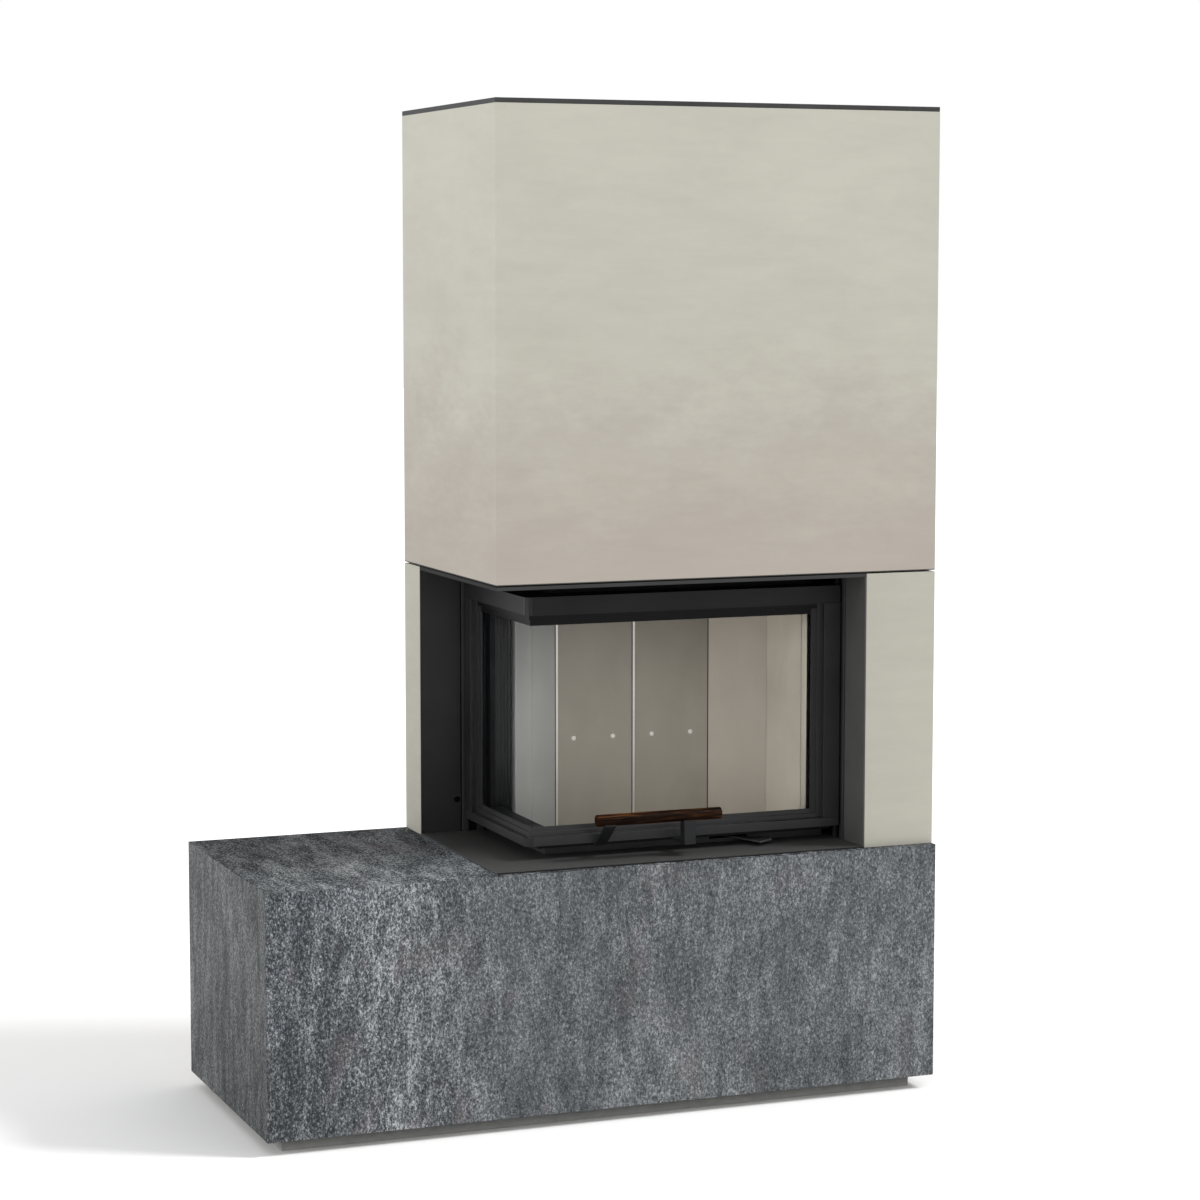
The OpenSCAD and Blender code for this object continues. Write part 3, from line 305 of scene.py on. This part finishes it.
def floor_sheet():
    """Powder-coated floor of the niche, painted darker inwards as shade, with a painted shadow line
    along its front edge.
    """
    f = Finish("floor_sheet", roughness=0.5, Specular_IOR_Level=0.3)
    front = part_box("floor_plate")[0][1]
    colour = f.mix(f.range(f.cloud(), 0.3, 0.7), (0.041, 0.041, 0.040), (0.049, 0.049, 0.048))
    # Painted shade: darker inwards, towards and under the door.
    colour = f.shaded(colour, f.range(f.along("Y"), front, front + 0.29, 1.15, 0.62))
    # Painted shadow: a dark line along the front edge, where the sheet sits on the stone.
    painted_gap_shadow = f.range(f.along("Y"), front + 0.0018, front + 0.0034, 0.08, 1.0)
    f.link(f.shaded(colour, painted_gap_shadow), "Base Color")
    f.orange_peel()
    return f.material


def plinth_finish():
    """Painted board, with painted shade: dark at its top under the base's overhang, paler towards the
    floor.
    """
    f = Finish("plinth_paint", roughness=0.75, Specular_IOR_Level=0.15)
    mottle = f.noise(f.stretched((1, 1, 2)), 40, 4, 0.6)
    height = f.sum((f.along("Z"), 1.0), (f.range(mottle, 0.3, 0.7, -0.003, 0.003), 1.0))
    # Painted light and shade: the top in the base's shadow, the foot paler.
    lit_foot, plain = (0.26, 0.26, 0.255), (0.060, 0.064, 0.060)
    f.link(f.mix(f.range(height, 0.002, 0.026), lit_foot, plain), "Base Color")
    f.bump(mottle, 0.0004, 0.4)
    return f.material


def brushed(name, colour, roughness, stretch, grain, metallic=1.0):
    """Brushed steel: fine parallel scratches, drawn out as stretch says, with a little smudging."""
    f = Finish(name, colour, metallic, roughness)
    scratches = f.noise(f.stretched(stretch), grain, 3, 0.6)
    smudge = f.noise(f.place, 14, 3, 0.55)
    f.link(f.mix(f.range(smudge, 0.3, 0.7), tuple(c * 0.86 for c in colour), colour), "Base Color")
    uneven = f.sum((scratches, 0.6), (smudge, 0.4))
    f.link(f.range(uneven, 0.3, 0.7, roughness - 0.08, roughness + 0.12), "Roughness")
    f.bump(scratches, 0.0002, 0.25)
    return f.material


def cast_iron():
    """Cast iron: a sandy skin, dark with a breath of rust brown."""
    f = Finish("cast_iron", metallic=0.55, roughness=0.68)
    sand = f.noise(f.place, 700, 3, 0.6)
    cloud = f.noise(f.place, 18, 4, 0.6)
    f.link(f.ramp(cloud, [(0.3, (0.020, 0.019, 0.018)), (0.7, (0.046, 0.042, 0.038))]), "Base Color")
    f.link(f.range(sand, 0.3, 0.7, 0.6, 0.8), "Roughness")
    f.bump(sand, 0.0006, 0.6)
    return f.material


def lining(name, low, high, roughness=0.72, rise=(), side=()):
    """Pressed fire board: a fine gritty face with soft clouds; rise lists heights and the painted light
    and shade at each, and side holds an axis, two places on it and the painted light and shade at both."""
    f = Finish(name, low, 0.0, roughness)
    cloud = f.noise(f.stretched((1, 1, 0.6)), 11, 4, 0.58, 0.3)
    grit = f.noise(f.place, 480, 3, 0.62)
    colour = f.mix(f.range(f.sum((cloud, 0.8), (grit, 0.2)), 0.34, 0.66), low, high)
    # Painted light and shade: the board's colour graded with height and across.
    if rise:
        colour = f.shaded(colour, rise[0][1])
    for (z_low, shade_low), (z_high, shade_high) in zip(rise, rise[1:]):
        painted_height_shade = f.range(f.along("Z"), z_low, z_high, 1.0, shade_high / shade_low)
        colour = f.shaded(colour, painted_height_shade)
    if side:
        colour = f.shaded(colour, f.range(f.along(side[0]), *side[1:]))
    f.link(colour, "Base Color")
    f.link(f.range(grit, 0.3, 0.7, roughness - 0.06, roughness + 0.08), "Roughness")
    f.bump(f.sum((grit, 0.75), (cloud, 0.25)), 0.0006, 0.4)
    return f.material


def board():
    """Pressed building board: short pale fibres and darker flecks."""
    low, high = (0.40, 0.37, 0.31), (0.56, 0.53, 0.46)
    f = Finish("board", low, 0.0, 0.82)
    fibres = f.noise(f.stretched((0.35, 1, 1)), 90, 5, 0.65, 0.6)
    flecks = f.range(f.cells(f.stretched((0.6, 1, 1)), 144), 0.10, 0.24)
    colour = f.mix(f.range(fibres, 0.32, 0.68), low, high)
    f.link(f.mix(flecks, tuple(c * 0.62 for c in low), colour), "Base Color")
    f.bump(f.sum((fibres, 0.8), (flecks, 0.2)), 0.0008, 0.5)
    return f.material


def aerated():
    """Aerated block: chalky white with small open pores, painted darker inside as shade."""
    f = Finish("aerated_block", roughness=0.9)
    pores = f.range(f.cells(f.place, 260), 0.10, 0.32)
    cloud = f.noise(f.place, 14, 4, 0.6)
    pore_shade, low, high = (0.42, 0.41, 0.38), (0.62, 0.61, 0.57), (0.72, 0.71, 0.68)
    chalk = f.mix(f.range(cloud, 0.3, 0.7), low, high)
    f.link(f.mix(pores, pore_shade, chalk), "Base Color")
    f.bump(pores, 0.001, 0.7)
    return f.material


def walnut():
    """Oiled walnut: dark growth streaks running along the bar, fine open pores and a soft sheen."""
    f = Finish("walnut", roughness=0.5, Specular_IOR_Level=0.035)
    rings = f.noise(f.stretched((0.05, 1, 1)), 210, 4, 0.6, 1.2)
    streaks = f.noise(f.stretched((0.09, 1, 1)), 70, 4, 0.6, 0.8)
    pores = f.noise(f.stretched((0.03, 1, 1)), 900, 2, 0.6)
    tone = f.sum((rings, 0.5), (streaks, 0.4), (pores, 0.1))
    wood = [(0.40, (0.0014, 0.0007, 0.0004)), (0.48, (0.006, 0.0022, 0.0009)),
            (0.54, (0.018, 0.0066, 0.0020)), (0.64, (0.085, 0.032, 0.0090))]
    f.link(f.ramp(tone, wood), "Base Color")
    f.link(f.range(pores, 0.3, 0.7, 0.34, 0.5), "Roughness")
    f.bump(f.sum((pores, 0.6), (rings, 0.4)), 0.0004, 0.5)
    return f.material


def pane():
    """Clear fire glass: nearly nothing seen straight on, more of the room at a grazing angle."""
    index = 1.47
    f = Finish("fire_glass", (0.02, 0.022, 0.024), 0.0, 0.03, IOR=index, Specular_IOR_Level=0.3)
    glance = f.node("ShaderNodeFresnel", {"IOR": index}).outputs[0]
    f.link(f.range(glance, 0.03, 0.5, 0.02, 0.10), "Alpha")
    f.link(f.range(f.noise(f.place, 5, 3, 0.5), 0.3, 0.7, 0.02, 0.05), "Roughness")
    f.material.surface_render_method = "BLENDED"
    return f.material


def cable_finish():
    """Steel rope: dull zinc-grey wires with darker grease between the strands."""
    f = Finish("cable_steel", (0.42, 0.42, 0.43), 0.9, 0.42)
    grease = f.noise(f.stretched((1, 1, 0.6)), 900, 3, 0.6)
    greasy, plain = (0.16, 0.16, 0.17), (0.52, 0.52, 0.53)
    f.link(f.mix(f.range(grease, 0.35, 0.65), greasy, plain), "Base Color")
    f.bump(grease, 0.0003, 0.5)
    return f.material


DOWNWARDS = (1, 1, 0.5)
BACKWARDS = (1, 0.5, 1)
CORNER_LEFT, CORNER_RIGHT = (corner[0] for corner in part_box("corner_lining"))
FINISHES = {
    "stone_finish": stone_finish("stone_front", DOWNWARDS, front=True, calm=1.27, shade=0.92),
    "plinth_board": plinth_finish(),
    "board": board(),
    "aerated_block": aerated(),
    "duct_steel": brushed("duct_steel", (0.58, 0.59, 0.60), 0.4, (1, 1, 0.05), 500),
    "plaster": plaster(),
    "cap_metal": coated("cap_metal", (0.036, 0.036, 0.037), 0.5, 0.12),
    "dark_sheet": coated("dark_sheet", (0.026, 0.026, 0.026), 0.46, 0.3),
    "frame_angle": coated("frame_angle", (0.058, 0.060, 0.062), 0.55, 0.25, 900, 0.25),
    "insert_steel": coated("insert_steel", (0.016, 0.016, 0.0165), 0.58, 0.2, 1100),
    "fire_brick": lining("fire_brick", (0.25, 0.225, 0.185), (0.36, 0.325, 0.275), 0.8),
    "cast_iron": cast_iron(),
    "pot_steel": brushed("pot_steel", (0.12, 0.12, 0.125), 0.45, (1, 1, 0.05), 500, 0.8),
    # Each lining's hue is its own, but its brightness is set to how it shows in the firebox: painted
    # light and shade, graded further by rise and side.
    "lining_left": lining("lining_left", (0.61, 0.62, 0.595), (0.69, 0.695, 0.67), 0.6,
                          rise=((0.60, 0.91), (0.83, 0.79), (1.06, 0.42)),
                          side=("X", -0.055, 0.055, 1.02, 0.915)),
    "lining_rear": lining("lining_rear", (0.43, 0.40, 0.335), (0.49, 0.455, 0.385), 0.66,
                          rise=((0.60, 1.02), (0.83, 0.80), (1.06, 0.50))),
    "lining_right": lining("lining_right", (0.55, 0.498, 0.414), (0.625, 0.573, 0.48), 0.72,
                           rise=((0.60, 1.0), (0.84, 0.96), (0.945, 1.175), (1.0, 1.2)),
                           side=("Y", -0.12, 0.10, 0.84, 0.95)),
    "bright_steel": brushed("bright_steel", (0.95, 0.93, 0.88), 0.4, (1, 1, 0.03), 700, 0.15),
    "gear_steel": brushed("gear_steel", (0.50, 0.51, 0.52), 0.42, (1, 1, 0.06), 450),
    "cable_steel": cable_finish(),
    "door_metal": coated("door_metal", (0.0115, 0.0115, 0.012), 0.42, 0.2),
    "glass": pane(),
    "handle_metal": coated("handle_metal", (0.0095, 0.0100, 0.0108), 0.42, 0.15),
    "walnut": walnut(),
    "lever_steel": brushed("lever_steel", (0.20, 0.20, 0.205), 0.42, (0.05, 1, 1), 900),
}
SPECIAL = {
    # Painted shade: the end panels use the front's stone set much darker.
    "base_left_panel": stone_finish("stone_end", DOWNWARDS, calm=2.0, shade=0.50, purple=0.1),
    # Painted shade: the corner lining is the right lining's board set darker, with a painted grade
    # across it.
    "corner_lining": lining("lining_corner", (0.43, 0.388, 0.328), (0.49, 0.445, 0.378), 0.7,
                            side=("X", CORNER_LEFT, CORNER_RIGHT, 1.07, 0.90)),
    "jamb_sheets": jamb_finish(),
    "floor_plate": floor_sheet(),
    "niche_ceiling": ceiling_finish(),
    "door_top_rail": top_rail_finish(),
    "door_bottom_rail": coated("bottom_rail_metal", (0.0155, 0.0155, 0.0160), 0.42, 0.24),
    "fixed_frame": coated("frame_metal", (0.0085, 0.0085, 0.0088), 0.55, 0.1),
    "sill_frame": coated("sill_metal", (0.009, 0.009, 0.0092), 0.5, 0.12),
    "flange_plate": coated("flange_metal", (0.009, 0.009, 0.0092), 0.5, 0.12),
    "door_guides": coated("guide_steel", (0.024, 0.024, 0.0245), 0.5, 0.2),
    "carriages": coated("carriage_steel", (0.024, 0.024, 0.0245), 0.5, 0.2),
    # Painted shade: the bench top uses the front's stone set darker, and painted darker towards the
    # wall.
    "bench_top": stone_finish("stone_top", BACKWARDS, top=True, calm=2.7, shade=0.67, purple=1.0,
                              gloss=0.02),
}
SPECIAL["base_right_panel"] = SPECIAL["base_left_panel"]


def finish_for(node):
    """The finish of one CAD node: its own, or the one of its slot."""
    return SPECIAL.get(node) or FINISHES[slot_of[node]]


for node, thing in frame["nodes"].items():
    thing.data.materials.clear()
    thing.data.materials.append(finish_for(node))

# ---------------------------------------------------------------- making pieces


def placed(name, form, body, slot, nodes=(), finish=None):
    """Turns a bmesh into a finished piece that rides on a body and stands for CAD nodes."""
    mesh = bpy.data.meshes.new(name)
    form.to_mesh(mesh)
    form.free()
    mesh.polygons.foreach_set("use_smooth", np.ones(len(mesh.polygons), bool))
    mesh.materials.append(finish or FINISHES[slot])
    piece = bpy.data.objects.new(name, mesh)
    scene.collection.objects.link(piece)
    if body:
        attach(piece, body)
    if nodes:
        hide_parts(*nodes)
    return piece


def woven(points, wrap_rows=False):
    """Faces over a grid of points (rows x columns x 3), whose last column meets the first: each face
    joins a point to its right and lower neighbours. Doubled points at poles and seams are merged, and
    faces are turned outwards."""
    rows, columns = points.shape[:2]
    index = np.arange(rows * columns).reshape(rows, columns)
    if wrap_rows:
        index = np.vstack([index, index[:1]])
    index = np.hstack([index, index[:, :1]])
    quads = np.stack([index[:-1, :-1], index[:-1, 1:], index[1:, 1:], index[1:, :-1]], -1)
    mesh = bpy.data.meshes.new("woven")
    mesh.from_pydata(points.reshape(-1, 3).tolist(), [], quads.reshape(-1, 4).tolist())
    form = bmesh.new()
    form.from_mesh(mesh)
    bpy.data.meshes.remove(mesh)
    bmesh.ops.remove_doubles(form, verts=form.verts, dist=1e-6)
    bmesh.ops.recalc_face_normals(form, faces=form.faces)
    return form


def joined(forms):
    """One bmesh from several."""
    whole = bmesh.new()
    for form in forms:
        mesh = bpy.data.meshes.new("joined")
        form.to_mesh(mesh)
        form.free()
        whole.from_mesh(mesh)
        bpy.data.meshes.remove(mesh)
    return whole


def turned(profile, centre, axis, columns=48):
    """A turned form: each profile point (distance from the axis, height along it) is carried round a
    full circle. Point = centre + height * axis + distance * (cos a * side + sin a * other)."""
    profile = np.asarray(profile, float)
    axis = np.asarray(axis, float) / np.linalg.norm(axis)
    side = np.cross(axis, (0.0, 0.0, 1.0) if abs(axis[2]) < 0.9 else (1.0, 0.0, 0.0))
    side /= np.linalg.norm(side)
    other = np.cross(axis, side)
    angle = np.linspace(0, 2 * np.pi, columns, endpoint=False)
    ring = np.cos(angle)[:, None] * side + np.sin(angle)[:, None] * other
    points = (np.asarray(centre, float) + profile[:, 1, None, None] * axis
              + profile[:, 0, None, None] * ring[None])
    closed = not (profile[0, 0] < 1e-9 and profile[-1, 0] < 1e-9)
    return woven(points, wrap_rows=closed)


def arc(centre, radius, start, end, steps):
    """Points (distance, height) on a circle about centre, between two angles in degrees."""
    angle = np.radians(np.linspace(start, end, steps))
    return np.stack([centre[0] + radius * np.cos(angle), centre[1] + radius * np.sin(angle)], -1)


def dressed(node, edge):
    """A merged copy of a CAD node whose square edges are rounded by edge metres. The sharp mitred
    edges, where two cladding pieces meet in a corner, stay sharp so that the corner closes."""
    form = bmesh.new()
    form.from_mesh(frame["nodes"][node].data)
    bmesh.ops.remove_doubles(form, verts=form.verts, dist=2e-6)
    flat = math.radians(0.4)
    bmesh.ops.dissolve_limit(form, angle_limit=flat, verts=form.verts, edges=form.edges)
    weight = form.edges.layers.float.new("bevel_weight_edge")
    for line in form.edges:
        bend = math.degrees(line.calc_face_angle(0.0))
        line[weight] = 1.0 if FLATTEST_EDGE < bend < SHARPEST_EDGE else 0.0
        line.smooth = bend <= FLATTEST_EDGE or line[weight] > 0
    piece = placed(node + "_dressed", form, body_of[node], slot_of[node], (node,), finish_for(node))
    rounding = piece.modifiers.new("rounded_edges", "BEVEL")
    rounding.width = edge
    rounding.segments = 2
    rounding.limit_method = "WEIGHT"
    rounding.use_clamp_overlap = True
    evened = piece.modifiers.new("flat_faces", "WEIGHTED_NORMAL")
    evened.keep_sharp = True


# The bends, in degrees, between which an edge is rounded
FLATTEST_EDGE, SHARPEST_EDGE = 30, 120
# Radius of the rounded edges in millimetres, and the CAD nodes that get it
EDGES_MM = {
    0.3: ["lining_strips"],
    0.5: ["glass_retainers", "niche_ceiling", "front_glass", "side_glass", "jamb_sheets",
          "floor_plate"],
    0.6: ["corner_caps", "air_lever", "hood_frame"],
    0.8: ["door_top_rail", "door_bottom_rail", "door_right_stile", "door_rear_stile", "handle_stays",
          "hood_front_panel", "hood_left_panel", "hood_right_panel", "right_pier_front",
          "right_pier_side", "rear_pier", "base_front_panel", "base_left_panel", "base_right_panel"],
    1.0: ["cap_plate", "sill_frame", "fixed_frame", "left_lining", "corner_lining", "right_lining",
          "back_board", "carriages", "door_guides", "plinth_board", "base_floor", "base_back_board"],
    2.0: ["baffle_board", "support_walls"],
    3.0: ["right_counterweight", "rear_counterweight"],
}
for edge_mm, nodes in EDGES_MM.items():
    for node in nodes:
        dressed(node, edge_mm / 1000)

# ---------------------------------------------------------------- turned and swept pieces


def span(node):
    """Lowest corner, highest corner and middle of a CAD node."""
    low, high = (np.array(corner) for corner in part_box(node))
    return low, high, (low + high) / 2


def handle():
    """The round bar: a straight side, with each end rounded over by a quarter circle."""
    low, high, middle = span("handle_bar")
    radius = (high[2] - low[2]) / 2
    length = high[0] - low[0]
    over, rows = 0.0028, 24
    side = np.stack([np.full(rows, radius), np.linspace(over, length - over, rows)], -1)
    profile = np.vstack([[[0, 0]], [[radius / 2, 0]], arc((radius - over, over), over, -90, 0, 7), side,
                         arc((radius - over, length - over), over, 0, 90, 7), [[radius / 2, length]],
                         [[0, length]]])
    bar = turned(profile, (low[0], middle[1], middle[2]), (1, 0, 0), 64)
    placed("walnut_handle", bar, "door", "walnut", ("handle_bar",))


def nozzles():
    """Four air nozzles: turned sleeves whose faces stand just out of the lining, with a soft rim."""
    low, high, middle = span("air_nozzles")
    sleeve, bore, count = 0.005, 0.0008, 4
    depth = high[1] - low[1]
    profile = [(bore, -0.0006), (sleeve - 0.0022, -0.0009), (sleeve - 0.0007, -0.0005),
               (sleeve, 0.0002), (sleeve, depth), (bore, depth)]
    radius = (high[2] - low[2]) / 2
    sleeves = [turned(profile, (x, low[1], middle[2]), (0, 1, 0), 32)
               for x in np.linspace(low[0] + radius, high[0] - radius, count)]
    placed("air_nozzle_sleeves", joined(sleeves), "surround", "bright_steel", ("air_nozzles",),
           finish=NOZZLE_PAINTED_SHINE)


def strand(x, y, z, radius, columns, waves, depth, lay):
    """An upright rope over the heights z. Its distance from the middle line is
    radius * (1 - depth + depth * |cos(waves * (angle - turn))|), where turn = 2 * pi * z / lay."""
    z = z[:, None]
    angle = np.linspace(0, 2 * np.pi, columns, endpoint=False)[None]
    away = radius * (1 - depth + depth * np.abs(np.cos(waves * (angle - 2 * np.pi * z / lay))))
    tube = np.stack([x + away * np.cos(angle), y + away * np.sin(angle), z + 0 * angle], -1)
    first, last = (np.broadcast_to([x, y, height], (1, columns, 3)) for height in (z[0, 0], z[-1, 0]))
    return woven(np.concatenate([first, tube, last]))


def lining_cords():
    """Three thin sealing cords in the joints of the linings, from the tray to the lining's top."""
    low, high, _ = span("corner_lining")
    strip_low, strip_high, _ = span("lining_strips")
    strip_width, radius, inset = 0.005, 0.0011, 0.001
    spots = [(low[0] - 0.0002, 0.1884), (strip_low[0] - radius, 0.1886),
             (strip_high[0] - strip_width - radius, 0.1886)]
    z = np.linspace(low[2] + inset, high[2] - inset, 300)
    cords = [strand(x, y, z, radius, columns=12, waves=2, depth=0.15, lay=0.009) for x, y in spots]
    placed("lining_cords", joined(cords), "surround", "insert_steel", finish=CORD_GREY)


def lining_return():
    """The right lining's front return, a thin board that covers the frame's post: a rectangle with
    rounded corners, (|x / a|)^8 + (|y / b|)^8 = 1, carried up from the tray to the lining's top."""
    x, y, half_x, half_y = 0.5150, -0.1353, 0.0012, 0.0147
    foot, top, rim, columns = 0.603, span("right_lining")[1][2], 0.0006, 48
    angle = np.linspace(0, 2 * np.pi, columns, endpoint=False)[None]
    cos, sin = np.cos(angle), np.sin(angle)
    away = (np.abs(cos / half_x) ** 8 + np.abs(sin / half_y) ** 8) ** (-1 / 8)
    z = np.array([foot, foot + rim, top - rim, top])[:, None]
    inset = np.array([0.6, 1.0, 1.0, 0.6])[:, None]
    wall = np.stack([x + away * cos * inset, y + away * sin * inset, z + 0 * angle], -1)
    first, last = (np.broadcast_to([x, y, height], (1, columns, 3)) for height in (foot, top))
    form = woven(np.concatenate([first, wall, last]))
    placed("right_lining_return", form, "surround", "lining_right")


def post_ribs():
    """A ribbed sealing strip on the frame's rear post. Across the strip, u runs from 0 to 1 and the
    front lies rise * |sin(pi * ribs * u)| before the post's face. This outline is carried up."""
    left, right, face, sunk = -0.0975, -0.0605, 0.1500, 0.0004
    rise, ribs = 0.0024, 5
    bottom, top = 0.604, 1.062
    u = np.linspace(0, 1, 81)
    front = np.stack([left + (right - left) * u, face - rise * np.abs(np.sin(np.pi * ribs * u))], -1)
    rear = np.array([[right, face + sunk], [left, face + sunk]])
    outline = np.vstack([front, rear])
    height = np.linspace(bottom, top, 6)[:, None]
    points = np.stack([outline[None, :, 0] + 0 * height, outline[None, :, 1] + 0 * height,
                       height + 0 * outline[None, :, 0]], -1)
    form = woven(points)
    bmesh.ops.holes_fill(form, edges=[edge for edge in form.edges if edge.is_boundary])
    bmesh.ops.recalc_face_normals(form, faces=form.faces)
    placed("post_ribs", form, "surround", "insert_steel", finish=RIB_GREY)


def jamb_plug():
    """The black plug low on the rear jamb: a shallow dome on a short collar, radius * cos t across and
    rise * sin t high."""
    radius, rise, collar, sunk = 0.0068, 0.0022, 0.0008, 0.0004
    x, z, sheet = -0.169, 0.615, 0.003
    face = span("jamb_sheets")[1][1] - sheet
    turn = np.linspace(0, math.pi / 2, 8)
    dome = np.stack([radius * np.cos(turn), collar + rise * np.sin(turn)], -1)
    profile = np.vstack([[[0, -sunk], [radius, -sunk]], dome[:-1], [[0, collar + rise]]])
    placed("jamb_plug", turned(profile, (x, face, z), (0, -1, 0), 32), "surround", "dark_sheet",
           finish=PLUG_BLACK)


def ropes(name, spots, z_low, z_high, replaced=()):
    """Stranded lifting cables of six lobes, which stretch from the surround down to another body."""
    row_height = 0.0022
    z = np.linspace(z_low, z_high, int((z_high - z_low) / row_height))
    forms = [strand(x, y, z, ROPE_RADIUS, columns=24, waves=3, depth=0.14, lay=0.016) for x, y in spots]
    piece = placed(name, joined(forms), None, "cable_steel", replaced)
    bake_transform(piece)


def cables():
    """Ropes in place of the door cables and the weight cables, each as long as its CAD node is high."""
    for node in ("door_cables", "weight_cables"):
        low, high, _ = span(node)
        right = (high[0] - ROPE_RADIUS, low[1] + ROPE_RADIUS)
        rear = (low[0] + ROPE_RADIUS, high[1] - ROPE_RADIUS)
        if node == "door_cables":
            ropes("door_ropes", [right, rear], low[2], high[2], (node,))
        else:
            ropes("right_weight_rope", [right], low[2], high[2], (node,))
            ropes("rear_weight_rope", [rear], low[2], high[2])


ROPE_RADIUS = 0.0015
CORD_GREY = coated("cord_grey", (0.05, 0.046, 0.042), 0.9, 0.1)
RIB_GREY = coated("rib_grey", (0.030, 0.030, 0.031), 0.55, 0.2)
# Painted shine: the steel nozzle faces are coated near-white to stand for their bright reflection.
NOZZLE_PAINTED_SHINE = coated("nozzle_painted_shine", (0.98, 0.97, 0.94), 0.35, 0.5, wear=0.02)
PLUG_BLACK = coated("plug_black", (0.002, 0.002, 0.002), 0.6, 0.02)
handle()
nozzles()
lining_cords()
lining_return()
post_ribs()
jamb_plug()
cables()

# ---------------------------------------------------------------- stage, light and camera


def floor():
    """A wide pale floor, flat all over."""
    side = 40.0
    corners = [(-side, -side, 0), (side, -side, 0), (side, side, 0), (-side, side, 0)]
    mesh = bpy.data.meshes.new("studio_floor")
    mesh.from_pydata(corners, [], [(0, 1, 2, 3)])
    thing = bpy.data.objects.new("studio_floor", mesh)
    scene.collection.objects.link(thing)
    finish = Finish("studio_floor", (0.80, 0.80, 0.80), roughness=0.9, Specular_IOR_Level=0.0)
    mesh.materials.append(finish.material)


def sun(name, towards, strength, degrees):
    """A broad soft light that comes from the direction given, and is as many degrees wide."""
    data = bpy.data.lights.new(name, "SUN")
    data.energy = strength
    data.angle = math.radians(degrees)
    thing = bpy.data.objects.new(name, data)
    scene.collection.objects.link(thing)
    thing.rotation_euler = Vector(towards).to_track_quat("Z", "Y").to_euler()


def camera(place, turns, lens_mm):
    """A camera at a place, turned about the axes in order."""
    data = bpy.data.cameras.new("photo_camera")
    data.sensor_width = 36.0
    data.lens = lens_mm
    data.clip_end = 200.0
    thing = bpy.data.objects.new("photo_camera", data)
    scene.collection.objects.link(thing)
    turn = Matrix.Identity(4)
    for axis, degrees in turns:
        turn = turn @ Matrix.Rotation(math.radians(degrees), 4, axis)
    thing.matrix_world = Matrix.Translation(place) @ turn
    scene.camera = thing


def studio():
    """An even white room, with a soft key from the right and a broad fill from the left."""
    world = bpy.data.worlds.new("studio")
    world.use_nodes = True
    room = world.node_tree.nodes["Background"]
    room.inputs["Color"].default_value = (1, 1, 1, 1)
    room.inputs["Strength"].default_value = 1.0
    scene.world = world
    sun("key", towards=(0.647, -0.313, 0.695), strength=2.6, degrees=14)
    sun("fill", towards=(-0.97, -0.15, 0.12), strength=1.68, degrees=50)
    scene.view_settings.view_transform = "Standard"


floor()
studio()
# The photograph's angle: a long lens from the front left, a little above the middle
camera(place=(-2.3897, -6.2808, 1.7718), turns=[("Z", -21.548), ("X", 90 - 5.958), ("Z", 0.031)],
       lens_mm=94.063)
